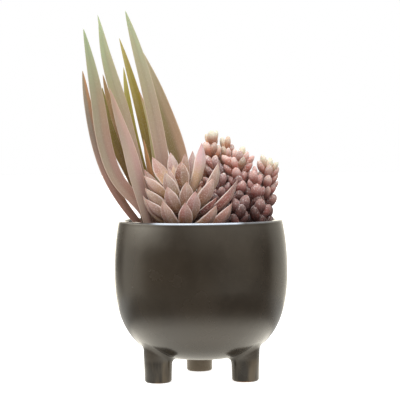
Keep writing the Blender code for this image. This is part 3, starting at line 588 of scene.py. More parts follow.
def build_bowl(finish):
    form = Form()
    top, wall_top = POT_RIM_Z, POT_RIM_R - POT_WALL
    profile = [(0.0, POT_BASE_Z)]
    lower = [POT_BASE_Z + (POT_BELLY_Z - POT_BASE_Z) * (1.0 - math.cos(0.5 * math.pi * (i / 56) ** 0.62)) for i in range(1, 57)]
    radii = np.linspace(4.0, bowl_outer(lower[0]) - 2.0, 6)
    for r in radii:
        profile.append((float(r), POT_BASE_Z + (lower[0] - POT_BASE_Z) * (r / bowl_outer(lower[0])) ** 3))
    profile += [(bowl_outer(z), z) for z in lower]
    upper = np.linspace(POT_BELLY_Z, top - RIM_ROUND, 18)[1:]
    profile += [(bowl_outer(z), float(z)) for z in upper]
    outer_edge = bowl_outer(top - RIM_ROUND)
    for i in range(1, 9):
        a = 0.5 * math.pi * i / 8
        profile.append((outer_edge - RIM_ROUND + RIM_ROUND * math.cos(a), top - RIM_ROUND + RIM_ROUND * math.sin(a)))
    inner_round = 1.4
    flat = wall_top + inner_round
    profile.append(((outer_edge - RIM_ROUND + flat) / 2, top + 0.02))
    for i in range(0, 9):
        a = 0.5 * math.pi * i / 8
        profile.append((flat - inner_round * math.sin(a), top - inner_round + inner_round * math.cos(a)))
    profile += [(bowl_inner(z), z) for z in (100.0, 96.0, 90.0, 82.0, 73.0)]
    floor = POT_BASE_Z + POT_FLOOR
    inner_low = [floor + (POT_BELLY_Z - floor) * (1.0 - math.sin(0.5 * math.pi * i / 16)) for i in range(1, 16)]
    profile += [(max(1.0, bowl_inner(z)), z) for z in inner_low]
    profile.append((0.0, floor))
    points, faces = turned(profile, 200)
    form.add(points, faces, (0.06, 0.05, 0.04), (0, 0, 0))

    # feet: each side line runs up to where it meets the bowl and turns into it along a small round
    around = 72
    for centre in np.array(FEET):
        rings = []
        for k in range(around):
            phi = math.tau * k / around
            out = np.array((math.cos(phi), math.sin(phi)))
            column = [np.array((*(centre + out * r), 0.0)) for r in (2.5, 5.0, FOOT_R - FOOT_ROUND)]
            for i in range(1, 7):
                a = 0.5 * math.pi * i / 6
                r = FOOT_R - FOOT_ROUND + FOOT_ROUND * math.sin(a)
                column.append(np.array((*(centre + out * r), FOOT_ROUND - FOOT_ROUND * math.cos(a))))

            def side(z):
                return FOOT_R + (FOOT_TOP_R - FOOT_R) * (z - FOOT_ROUND) / 14.0

            low, high = 6.0, 60.0  # height where the side line meets the bowl
            for _ in range(40):
                z = (low + high) / 2
                p = centre + out * side(z)
                inside = z > POT_BASE_Z and math.hypot(*p) < bowl_outer(z)
                low, high = (low, z) if inside else (z, high)
            meet = z
            inward = -float(np.dot(out, unit(centre)))
            reach = 3.0 + 1.6 * max(0.0, inward)
            a = np.array((*(centre + out * side(meet - reach)), meet - reach))
            b = np.array((*(centre + out * side(meet)), meet))
            # the far end of the round lies on the bowl, outward from the foot's own axis
            p = centre + out * (side(meet) + 0.85 * reach)
            r = float(np.linalg.norm(p))
            zz = np.linspace(POT_BASE_Z, POT_BELLY_Z, 600)
            zr = np.array([bowl_outer(v) for v in zz])
            if r < zr[-1] - 0.3:
                c = np.array((*p, float(np.interp(r, zr, zz))))
            else:
                c = np.array((*(p / r * (zr[-1])), POT_BELLY_Z))
            steps = 9
            for i in range(1, 5):
                s = i / 5
                column.append(np.array((*(centre + out * side(FOOT_ROUND + (meet - reach - FOOT_ROUND) * s)), FOOT_ROUND + (meet - reach - FOOT_ROUND) * s)))
            for i in range(steps + 1):
                s = i / steps
                q = (1 - s) ** 2 * a + 2 * s * (1 - s) * b + s**2 * c
                column.append(q)
            # then into the wall, so that the round has no edge
            rr = math.hypot(c[0], c[1])
            column.append(np.array((c[0] * (rr - 0.6) / rr, c[1] * (rr - 0.6) / rr, c[2] + 0.6)))
            rings.append(column)
        grid = np.array(rings).transpose(1, 0, 2)
        top_point = grid[-1].mean(0)
        top_point[2] = max(top_point[2], POT_BASE_Z + 1.5)
        points = np.concatenate((grid.reshape(-1, 3), ((*centre, 0.0), top_point)))
        form.add(points, tube_faces(len(grid), around), (0.06, 0.05, 0.04), (0, 0, 0))
    return keep(form.piece("glazed_bowl", finish, 60), "pot")


# ---- potting mix ----


def build_mix(finish):
    form = Form()
    edge = bowl_inner(SOIL_Z) - GAP
    radii = np.linspace(0.0, edge, 34)[1:]
    steps = 150
    floor = POT_BASE_Z + POT_FLOOR + GAP
    profile = [(0.0, SOIL_Z + SOIL_CROWN)] + [(float(r), float(soil_height(r, 0))) for r in radii]
    profile += [(bowl_inner(z) - GAP, z) for z in (90.0, 82.0, 73.0)]
    profile += [(max(1.0, bowl_inner(z - GAP) - GAP), z) for z in [floor + (POT_BELLY_Z - floor) * (1.0 - math.sin(0.5 * math.pi * i / 9)) for i in range(1, 9)]]
    profile.append((0.0, floor))
    points, faces = turned(profile, steps)
    dark, brown = lin(44, 30, 22), lin(86, 60, 42)
    tint = np.zeros((len(points), 3))
    for i, p in enumerate(points):
        share = 0.5 + 0.5 * noise.noise(Vector(p * 0.35))
        tint[i] = dark * (1 - share) + brown * share
        if p[2] > SOIL_Z - 0.5 and math.hypot(p[0], p[1]) < edge - 0.2:
            p[2] += 0.9 * noise.noise(Vector(p * 0.22)) + 0.5 * noise.noise(Vector(p * 0.7)) - 0.2
    form.add(points, faces, tint, points)
    rng = np.random.default_rng(11)
    bm = bmesh.new()
    bmesh.ops.create_icosphere(bm, subdivisions=1, radius=1.0)
    ball = np.array([v.co for v in bm.verts])
    ball_faces = [tuple(v.index for v in f.verts) for f in bm.faces]
    bm.free()
    kinds = (lin(60, 42, 30), lin(96, 68, 46), lin(130, 98, 70), lin(40, 28, 22), lin(176, 168, 156))
    for k in range(1300):
        r, a = (edge - 1.4) * math.sqrt(rng.uniform()), rng.uniform(0, math.tau)
        x, y = r * math.cos(a), r * math.sin(a)
        kind = int(rng.choice(5, p=(0.34, 0.27, 0.13, 0.2, 0.06)))
        size = rng.uniform(0.5, 1.7) * (0.6 if kind == 4 else 1.0)
        shape = np.array((size * rng.uniform(0.8, 1.9), size * rng.uniform(0.5, 1.0), size * rng.uniform(0.3, 0.75)))
        if kind == 4:
            shape[:] = size
        jitter = 1.0 + rng.uniform(-0.22, 0.22, (len(ball), 1))
        q = ball * jitter * shape
        turn = np.array(Matrix.Rotation(rng.uniform(0, math.tau), 3, "Z") @ Matrix.Rotation(rng.uniform(-0.5, 0.5), 3, "X") @ Matrix.Rotation(rng.uniform(-0.4, 0.4), 3, "Y"))
        q = q @ turn.T + (x, y, float(soil_height(x, y)) + 0.25 * shape[2])
        form.add(q, ball_faces, kinds[kind] * rng.uniform(0.7, 1.2), q)
    return keep(form.piece("potting_mix_bed", finish, 35), "potting_mix")


# ---- long leaves ----


def long_taper(fullness):
    def share(t):
        if t < 0.42:
            return 1.0 - 0.45 * ((0.42 - max(t, 0.0)) / 0.42) ** 1.25
        return max(0.0, 1.0 - ((t - 0.42) / 0.58) ** fullness) ** 0.78

    return share


# colours up each long leaf on its left and on its right half, and at its margins; the halves differ partly in their own
# colour and partly by painted shade, one half of the channel or keel painted as if turned from the light
TIP, PALE, MID, LOW, FOOT = lin(170, 190, 148), lin(164, 172, 134), lin(160, 150, 124), lin(162, 132, 121), lin(124, 90, 78)
LONG_TONES = {
    "01": (((0, FOOT), (0.2, lin(150, 104, 90)), (0.4, lin(164, 124, 112)), (0.7, lin(148, 136, 124)), (1, lin(158, 142, 118))), ((0, lin(110, 70, 56)), (0.3, lin(138, 96, 74)), (0.6, lin(128, 98, 82)), (0.85, lin(176, 128, 88)), (1, lin(186, 136, 84)))),
    "02": (((0, FOOT), (0.2, lin(160, 126, 112)), (0.4, lin(166, 150, 130)), (0.65, MID), (0.85, PALE), (1, TIP)), ((0, FOOT), (0.2, lin(150, 108, 92)), (0.4, lin(168, 132, 120)), (0.65, lin(168, 142, 116)), (0.85, PALE), (1, TIP))),
    "03": (((0, FOOT), (0.3, LOW), (0.6, lin(162, 148, 114)), (0.85, PALE), (1, TIP)), ((0, FOOT), (0.3, lin(168, 138, 122)), (0.6, lin(168, 152, 124)), (0.85, lin(172, 172, 136)), (1, TIP))),
    "04": (((0, FOOT), (0.4, lin(136, 122, 80)), (0.8, lin(166, 164, 118)), (1, TIP)), ((0, FOOT), (0.4, lin(130, 114, 72)), (0.8, lin(160, 158, 110)), (1, TIP))),
    "05": (((0, FOOT), (0.5, lin(134, 100, 62)), (1, lin(156, 124, 76))), ((0, FOOT), (0.5, lin(126, 92, 54)), (1, lin(150, 118, 70)))),
    "06": (((0, lin(118, 90, 80)), (0.25, lin(156, 134, 120)), (0.5, lin(168, 148, 132)), (0.75, lin(168, 146, 130)), (1, lin(172, 144, 122))), ((0, lin(104, 74, 68)), (0.25, lin(152, 120, 112)), (0.5, lin(164, 132, 124)), (0.75, lin(172, 142, 130)), (1, lin(174, 142, 122)))),
    "07": (((0, FOOT), (0.4, lin(132, 100, 48)), (0.7, lin(138, 124, 46)), (1, lin(150, 146, 70))), ((0, FOOT), (0.4, lin(118, 86, 36)), (0.7, lin(124, 108, 32)), (1, lin(142, 134, 56)))),
    "08": (((0, FOOT), (0.35, lin(136, 110, 34)), (0.7, lin(164, 148, 62)), (1, lin(176, 168, 94))), ((0, FOOT), (0.35, lin(126, 98, 12)), (0.7, lin(152, 134, 34)), (1, lin(166, 154, 74)))),
    "09": (((0, FOOT), (0.5, lin(162, 148, 66)), (1, lin(174, 168, 80))), ((0, FOOT), (0.5, lin(154, 142, 46)), (1, lin(170, 162, 62)))),
    "10": (((0, FOOT), (0.3, LOW), (0.6, lin(160, 146, 116)), (0.85, lin(168, 166, 130)), (1, TIP)), ((0, FOOT), (0.3, lin(166, 134, 120)), (0.6, lin(166, 148, 124)), (0.85, lin(170, 174, 138)), (1, lin(176, 190, 150)))),
    "11": (((0, FOOT), (0.35, lin(122, 100, 52)), (0.65, lin(140, 128, 80)), (0.85, lin(162, 160, 120)), (1, lin(180, 180, 146))), ((0, FOOT), (0.3, lin(178, 140, 114)), (0.6, lin(184, 156, 124)), (0.85, lin(180, 170, 138)), (1, lin(184, 180, 148)))),
    "12": (((0, FOOT), (0.5, lin(172, 168, 116)), (0.9, lin(180, 172, 122)), (1, lin(204, 146, 126))), ((0, FOOT), (0.5, lin(160, 156, 102)), (0.9, lin(176, 160, 116)), (1, lin(204, 146, 126)))),
    "13": (((0, FOOT), (0.5, lin(150, 106, 66)), (1, lin(178, 126, 72))), ((0, FOOT), (0.5, lin(164, 112, 60)), (1, lin(186, 130, 70)))),
}
MARGIN = lin(222, 198, 180)


# painted light: some leaves' colours brightened to stand in for light that reaches them
LONG_PAINTED_LIGHT = {"02": 1.08, "03": 1.10, "06": 1.32, "10": 1.14}


def long_tint(key, flip):
    left, right = LONG_TONES[key]

    def tint(t, x, s):
        x = x * flip
        # the halves: own colour and painted light and shade of the channel's two sides
        colour = blend(along_keys(left, t), along_keys(right, t), smooth(-0.35, 0.35, x))
        # painted shade down the crease of the leaf's face
        colour = colour * (1.0 - 0.10 * np.exp(-((x / 0.22) ** 2)) * (s > 0))[:, None]
        edge = smooth(0.90, 0.99, np.abs(x)) * (0.50 + 0.40 * smooth(0.75, 0.2, t))
        colour = blend(colour, MARGIN + 0 * colour, edge)
        # painted shade: darker at the foot, where the leaves crowd together at the soil
        base = smooth(0.16, 0.0, t)[:, None]
        return colour * (1.0 - 0.45 * base) * LONG_PAINTED_LIGHT.get(key, 1.0)

    return tint


def build_long_leaves(finish):
    for number, (key, ((x, y), path, width, thick, facing, channel, fullness)) in enumerate(ALOE.items()):
        foot = (x, y, float(soil_height(x, y)) - 3.0)
        form = Form()
        flip = -1.0 if facing[1] > 0 else 1.0
        probe = unit(np.cross(heading(through((foot, *path)), 0.5), facing))
        flip = 1.0 if probe[0] > 0 else -1.0
        leaf(form, through((foot, *path)), width, thick * 1.15, facing, channel * 1.1, long_taper(fullness), long_tint(key, flip), number + 1, stations=110, around=36, margin=0.15, twist=0.10 * math.sin(number * 2.1), crease=0.12)
        keep(form.piece(f"long_leaf_{key}", finish), f"aloe_leaf_{key}")


# ---- rosette ----


def rosette_taper(t):
    if t < 0.60:
        return 0.50 + 0.50 * math.sin(0.5 * math.pi * max(t, 0.0) / 0.60)
    return max(0.0, 1.0 - ((t - 0.60) / 0.40) ** 1.9)


def rosette_spine(azimuth, reach, height, length, sag):
    a = math.radians(azimuth)
    out = np.array((math.cos(a), math.sin(a), 0.0))
    axis = np.array((*ROSETTE_AXIS, 0.0))
    tip = axis + out * reach + np.array((0.0, 0.0, height))
    start = STEM_R + GAP + 0.9
    rise = math.sqrt(max(4.0, length**2 - (reach - start) ** 2))
    foot_z = min(max(height - rise, 98.0), STEM_TOP - 1.5)
    foot = axis + out * (start - 3.0) + np.array((0.0, 0.0, foot_z - 1.5))
    run = tip - foot
    bow = sag * length * unit(np.cross(np.cross(run, (0.0, 0.0, 1.0)), run) * -1.0 if reach > start + 1.0 else out)
    return bezier((foot, foot + run / 3 + bow, foot + run * 2 / 3 + bow, tip)), out


# tones of the rosette leaves: foot, middle, tip of the back of the leaf, then of its face
DUSTY = (lin(126, 90, 58), lin(178, 146, 136), lin(206, 182, 173))
TAN = (lin(138, 100, 56), lin(178, 144, 120), lin(202, 176, 156))
GREY = (lin(112, 84, 64), lin(166, 137, 126), lin(192, 167, 158))
GOLD = (lin(176, 136, 66), lin(186, 152, 134), lin(198, 172, 160))
MAUVE = (lin(120, 52, 44), lin(178, 112, 106), lin(148, 122, 120))
BROWN = (lin(104, 56, 28), lin(122, 80, 62), lin(176, 138, 126))
ORANGE = (lin(186, 146, 84), lin(204, 170, 154), lin(214, 188, 180))
BLUSH = (lin(206, 184, 142), lin(224, 198, 190), lin(216, 188, 183))
PINK = (lin(204, 176, 124), lin(180, 146, 132), lin(186, 155, 148))
CREAM = (lin(206, 172, 104), lin(220, 190, 148), lin(226, 200, 176))
ROSE = (lin(168, 124, 60), lin(190, 142, 132), lin(206, 176, 168))
LIT_FEET = (1, 6, 7, 8, 9, 10, 16)  # the leaves whose feet light comes through
RED = (lin(84, 36, 34), lin(128, 62, 58), lin(150, 84, 76))
ROSETTE_TONES = (PINK, DUSTY, TAN, GREY, BROWN, CREAM, ORANGE, BLUSH, DUSTY, ORANGE, GREY, DUSTY, DUSTY, GREY, DUSTY, DUSTY, DUSTY, MAUVE, ROSE, DUSTY, GREY, TAN, ROSE, ROSE, RED, DUSTY, TAN, DUSTY, DUSTY, GREY, DUSTY, ROSE)
ROSETTE_EDGE = lin(240, 226, 216)
# how the light falls off towards the lowest leaves, by the height of the tip
ROSETTE_FALL = ((116.0, np.array((0.80, 0.66, 0.615))), (134.0, np.array((0.82, 0.75, 0.72))), (150.0, np.array((0.93, 0.94, 0.95))))


def rosette_tint(tones, seed, flip, deep, high):
    rng = np.random.default_rng(500 + seed)
    # random tone jitter times the painted shade of the light's fall-off towards the low leaves
    tone_jitter_and_light_fall = rng.uniform(0.93, 1.05, 3) * along_keys(ROSETTE_FALL, high)

    def tint(t, x, s):
        foot, mid, tip = tones
        olive = blend(foot, lin(190, 152, 78), 0.0 if any(tones is own for own in (MAUVE, RED, BLUSH, PINK)) else 0.28)
        # painted shade at the foot of each leaf, between the leaves, less where light comes through
        keys = ((0.0, foot * 0.4 * deep), (0.24, foot * deep), (0.43, olive), (0.70, mid), (0.92, tip), (1.0, blend(tip, lin(190, 120, 108), 0.4)))
        colour = along_keys(keys, t) * tone_jitter_and_light_fall
        # painted light and shade: one half of each leaf paler as if lit, the other darker and pinker
        left = colour * (1.0, 0.92, 0.90)
        right = blend(colour, lin(214, 196, 172) + 0 * colour, 0.20 * smooth(0.2, 0.5, t))
        colour = blend(left, right, smooth(-0.30, 0.35, x * flip))
        # painted highlight: a paler line along the mid-ridge
        ridge_highlight = np.exp(-((x / 0.08) ** 2)) * smooth(0.30, 0.6, t)
        colour = blend(colour, ROSETTE_EDGE + 0 * colour, 0.15 * ridge_highlight)
        edge = smooth(0.84, 0.98, np.abs(x)) * smooth(0.12, 0.40, t)
        return blend(colour, ROSETTE_EDGE + 0 * colour, 0.85 * edge)

    return tint


def build_rosette(finish, bark):
    x, y = ROSETTE_AXIS
    foot = float(soil_height(x, y)) - 2.0
    form = Form()
    profile = [(0.0, STEM_TOP)]
    for i in range(1, 60):
        z = STEM_TOP - (STEM_TOP - foot) * i / 60
        r = STEM_R * min(1.0, math.sqrt(1.0 - max(0.0, 1.0 - i / 5) ** 2) + 0.05) * (1.0 + 0.05 * math.sin(z * 2.3))
        profile.append((r, z))
    profile.append((0.0, foot))
    points, faces = turned(profile, 40)
    points[:, :2] += (x, y)
    form.add(points, faces, lin(120, 88, 60), points)
    keep(form.piece("rosette_stalk", bark), "rosette_stem")
    for number, (azimuth, reach, height, width, length, sag) in enumerate(ROSETTE, 1):
        spine, out = rosette_spine(azimuth, reach, height, length, sag)
        # those on the front show their backs and those behind their faces
        facing = np.array((0.0, 0.9 if math.sin(math.radians(azimuth)) < 0.1 else -0.9, 0.75)) - 0.35 * out
        side = np.cross(heading(spine, 0.5), unit(facing))
        flip = 1.0 if side[0] - 0.6 * side[2] > 0 else -1.0
        form = Form()
        leaf(form, spine, width * 1.06, width * 0.50, facing, 0.35, rosette_taper, rosette_tint(ROSETTE_TONES[number - 1], number, flip, 0.8 if number in LIT_FEET else 0.38, height), 20 + number, stations=56, around=36, ends=(0.0, 0.99), back=0.64, keel=lambda t: 0.25 + 0.6 * float(smooth(0.3, 0.9, t)), margin=0.05, crease=0.10)
        keep(form.piece(f"rosette_leaf_fine_{number:02d}", finish), f"rosette_leaf_{number:02d}")


# ---- sedum ----


def bead_radius(z):
    return float(np.interp(z, BEAD_Z, BEAD_R))


def stem_at(foot, top, z):
    return foot + (top - foot) * (z - foot[2]) / (top[2] - foot[2])


def sprig_beads(foot, top, front):
    """Beads as (root on the stem, middle of the round end, radius): the front ones where the table
    has them, then a golden-angle spiral that fills the rest of the stem. High ones stand up, low
    ones reach out."""
    rows = []
    for across, high, radius in front:
        lean = math.radians(float(np.interp(top[2] - high, *BEAD_LEANS)))
        reach = 9.4 - 0.3 * radius
        root = stem_at(foot, top, min(high - reach * math.sin(lean), top[2]))
        level = math.sqrt(max(reach**2 - (high - root[2]) ** 2, 0.3))
        dx = across - root[0]
        dy = -math.sqrt(max(level**2 - dx**2, 0.0))
        rows.append([root, root + np.array((dx, dy, high - root[2])), radius])
    z, k = 97.0, 0
    while z < top[2]:
        root = stem_at(foot, top, min(z, top[2] - 0.5))
        turn = math.radians(k * GOLDEN)
        lean = math.radians(float(np.interp(top[2] - z - 7.0, *BEAD_LEANS)))
        aim = np.array((math.cos(turn) * math.cos(lean), math.sin(turn) * math.cos(lean), math.sin(lean)))
        radius = bead_radius(z)
        for reach in (8.4, 7.2):
            end = root + aim * reach
            own = min((float(np.linalg.norm(end - row[1])) for row in rows), default=99.0)
            over_rim = end[2] - 1.1 * radius > POT_RIM_Z + 0.6
            in_mouth = math.hypot(end[0], end[1]) + 1.1 * radius < POT_RIM_R - POT_WALL - 0.3
            if own > 1.55 * radius and (over_rim or in_mouth):
                rows.append([root, end, radius])
                break
        z += 0.75
        k += 1
    return rows


def bead(form, root, end, radius, tones, seed, around=20, rings=15):
    rng = np.random.default_rng(seed)
    aim = unit(end - root)
    length = float(np.linalg.norm(end - root)) + 1.26 * radius
    side = unit(np.cross(aim, (0.31, 0.87, 0.17)))
    other = np.cross(aim, side)
    lift = unit(np.array((0.0, 0.0, 1.0)) - aim[2] * aim + 1e-6)
    u = 0.5 - 0.5 * np.cos(math.pi * (np.arange(1, rings + 1) / (rings + 1)))
    widest = 0.60
    body = np.where(u < widest, 0.34 + 0.66 * np.sin(0.5 * math.pi * u / widest) ** 1.15, np.clip(1.0 - ((u - widest) / (1.0 - widest)) ** 2.0, 0.0, 1.0) ** 0.60)
    sag = rng.uniform(-0.25, 0.7)
    phi = math.tau * np.arange(around) / around
    grid = np.zeros((rings, around, 3))
    flat = rng.uniform(0.88, 1.0)
    for i, (ui, bi) in enumerate(zip(u, body)):
        centre = root + aim * (length * ui) + lift * (sag * ui**2)
        grid[i] = centre + radius * bi * (np.outer(np.cos(phi), side) + flat * np.outer(np.sin(phi), other))
    low, tip = root, root + aim * length + lift * sag
    foot, mid, end_tone = tones
    upright = float(smooth(0.72, 0.98, aim[2]))
    # painted shade: darkest at the root, where the bead meets the stem among its neighbours
    keys = ((0.0, foot * 0.26), (0.42 - 0.20 * upright, foot * 0.95), (0.68 - 0.16 * upright, mid), (0.94 - 0.12 * upright, end_tone), (1.0, end_tone))
    ui = np.repeat(u, around)
    colour = along_keys(keys, ui) * rng.uniform(0.88, 1.10)
    points = np.concatenate((grid.reshape(-1, 3), (low, tip)))
    colour = np.concatenate((colour, (keys[0][1], keys[-1][1])))
    form.add(points, tube_faces(rings, around), colour, points + 50.0 * rng.uniform(0, 1, 3))


# how far each sprig's middles and tips lean to a cast of their own
PALE_BEADS = (("1", 1), ("1", 0), ("2", 0), ("5", 0), ("5", 2), ("5", 3), ("3", 1))
SPRIG_CASTS = {
    "1": (0.55, lin(236, 170, 126), lin(242, 212, 186)),
    "5": (0.5, lin(208, 160, 144), lin(224, 208, 190)),
    "8": (0.7, lin(136, 102, 100), lin(172, 146, 142)),
    "6": (0.6, lin(98, 68, 65), lin(148, 124, 120)),
    "7": (0.5, lin(104, 72, 67), lin(144, 118, 112)),
}


def build_sedum(finish):
    for number, (key, ((x, y), top, front)) in enumerate(SEDUM.items()):
        foot, top = np.array((x, y, float(soil_height(x, y)) - 2.0)), np.array(top, float)
        form = Form()
        rows = sprig_beads(np.array((x, y, 97.0)), top, front)
        steps, around = 12, 12
        phi = math.tau * np.arange(around) / around
        grid = np.zeros((steps, around, 3))
        for i in range(steps):
            s = i / (steps - 1)
            r = 2.2 - 0.7 * s
            grid[i] = foot + (top - foot) * s + r * np.stack((np.cos(phi), np.sin(phi), 0 * phi), -1)
        points = np.concatenate((grid.reshape(-1, 3), (foot, top + (0, 0, 0.8))))
        form.add(points, tube_faces(steps, around), lin(104, 56, 44), points)
        rng = np.random.default_rng(900 + number)
        for k, (root, end, radius) in enumerate(rows):
            h = float(np.clip((end[2] - 104.0) / 52.0, 0.0, 1.0))
            foot_tone = along_keys(((0, lin(40, 22, 25)), (0.45, lin(88, 40, 36)), (1, lin(160, 92, 56))), h)
            mid_tone = along_keys(((0, lin(60, 34, 32)), (0.45, lin(147, 81, 73)), (1, lin(210, 140, 116))), h)
            tip_tone = along_keys(((0, lin(122, 99, 93)), (0.45, lin(203, 156, 147)), (1, lin(238, 208, 194))), h)
            share, mid_cast, tip_cast = SPRIG_CASTS.get(key, (0.0, mid_tone, tip_tone))
            mid_tone = mid_tone * (1 - share) + share * mid_cast
            tip_tone = tip_tone * (1 - share) + share * tip_cast
            # painted shade: beads lower down darkened as the light falls off under the sprigs
            painted_light_fall = along_keys(((0, np.array((0.57, 0.48, 0.46))), (0.45, np.array((0.87, 0.83, 0.85))), (1, np.array((0.92, 0.92, 0.94)))), h)
            mid_tone, tip_tone = mid_tone * painted_light_fall, tip_tone * painted_light_fall
            if (key, k) in PALE_BEADS:
                mid_tone, tip_tone = mid_tone * 0.45 + 0.55 * lin(222, 202, 166), lin(232, 230, 206)
            lot = rng.uniform()
            if lot < 0.22:  # some are ruddier, some paler and yellower
                mid_tone = mid_tone * 0.6 + 0.4 * lin(176, 96, 86)
            elif lot > 0.84 and h > 0.4:
                mid_tone, tip_tone = mid_tone * 0.5 + 0.5 * lin(214, 160, 108), tip_tone * 0.5 + 0.5 * lin(226, 218, 184)
            if k >= len(front):  # the beads between and behind stand in the front ones' shade
                shade = 0.32 + 0.36 * h
                foot_tone, mid_tone, tip_tone = foot_tone * shade, mid_tone * shade, tip_tone * (shade + 0.04)
            bead(form, root, end, radius, (foot_tone, mid_tone, tip_tone), 3000 + 100 * number + k)
        keep(form.piece(f"bead_sprig_{key}", finish), f"sedum_sprig_{key}")


# ---- the studio ----


def area_light(name, where, size, power, aim, colour=(1.0, 1.0, 1.0)):
    data = bpy.data.lights.new(name, "AREA")
    data.shape = "RECTANGLE"
    data.size, data.size_y = size
    data.energy = power
    data.color = colour
    obj = bpy.data.objects.new(name, data)
    obj.location = where
    obj.rotation_mode = "QUATERNION"
    obj.rotation_quaternion = (Vector(aim) - Vector(where)).to_track_quat("-Z", "Y")
    obj.visible_camera = False
    bpy.context.scene.collection.objects.link(obj)
    return obj


# place round the horizon (0.5 is the front) and how bright the mirrored surroundings are there,
# first level with the bowl, then a little under it and last overhead
BANDS = ((0.0, 4.6), (0.045, 3.3), (0.075, 0.40), (0.14, 0.14), (0.17, 0.80), (0.25, 0.95), (0.30, 0.15), (0.35, 0.06), (0.40, 0.04), (0.45, 0.06), (0.54, 0.20), (0.62, 0.44), (0.69, 0.35), (0.78, 0.10), (0.82, 0.65), (0.90, 0.8), (0.95, 1.3), (1.0, 3.2))
LOW_BANDS = ((0.0, 3.0), (0.05, 2.4), (0.09, 1.5), (0.14, 0.90), (0.17, 0.95), (0.25, 0.85), (0.30, 0.42), (0.36, 0.32), (0.44, 0.22), (0.50, 0.30), (0.53, 0.62), (0.60, 0.80), (0.66, 0.74), (0.70, 0.48), (0.78, 0.30), (0.82, 0.80), (0.90, 1.1), (0.95, 1.6), (1.0, 3.0))
OVERHEAD = ((0.0, 1.4), (0.15, 1.6), (0.21, 5.0), (0.26, 6.5), (0.31, 4.8), (0.36, 1.8), (0.41, 0.4), (0.50, 1.1), (0.60, 1.0), (0.66, 1.2), (0.74, 1.2), (0.84, 1.3), (1.0, 1.4))
WARM = (1.0, 0.945, 0.81)
DOME = (0.50, 0.95, 0.95)  # from below, level and overhead
# the glowing sheet under the bowl that only the glaze sees, a painted reflection of a lit floor: radius in
# metres and brightness, dimmer in the middle as painted shade under the bowl; farther out it is only bright behind the
# bowl
SHEET = ((0.0, 0.88), (0.035, 1.2), (0.060, 1.95), (0.080, 1.95), (0.100, 1.25), (0.130, 0.26), (0.170, 0.07), (0.300, 0.13))

SHEET_BEHIND = (-0.01, 0.090)


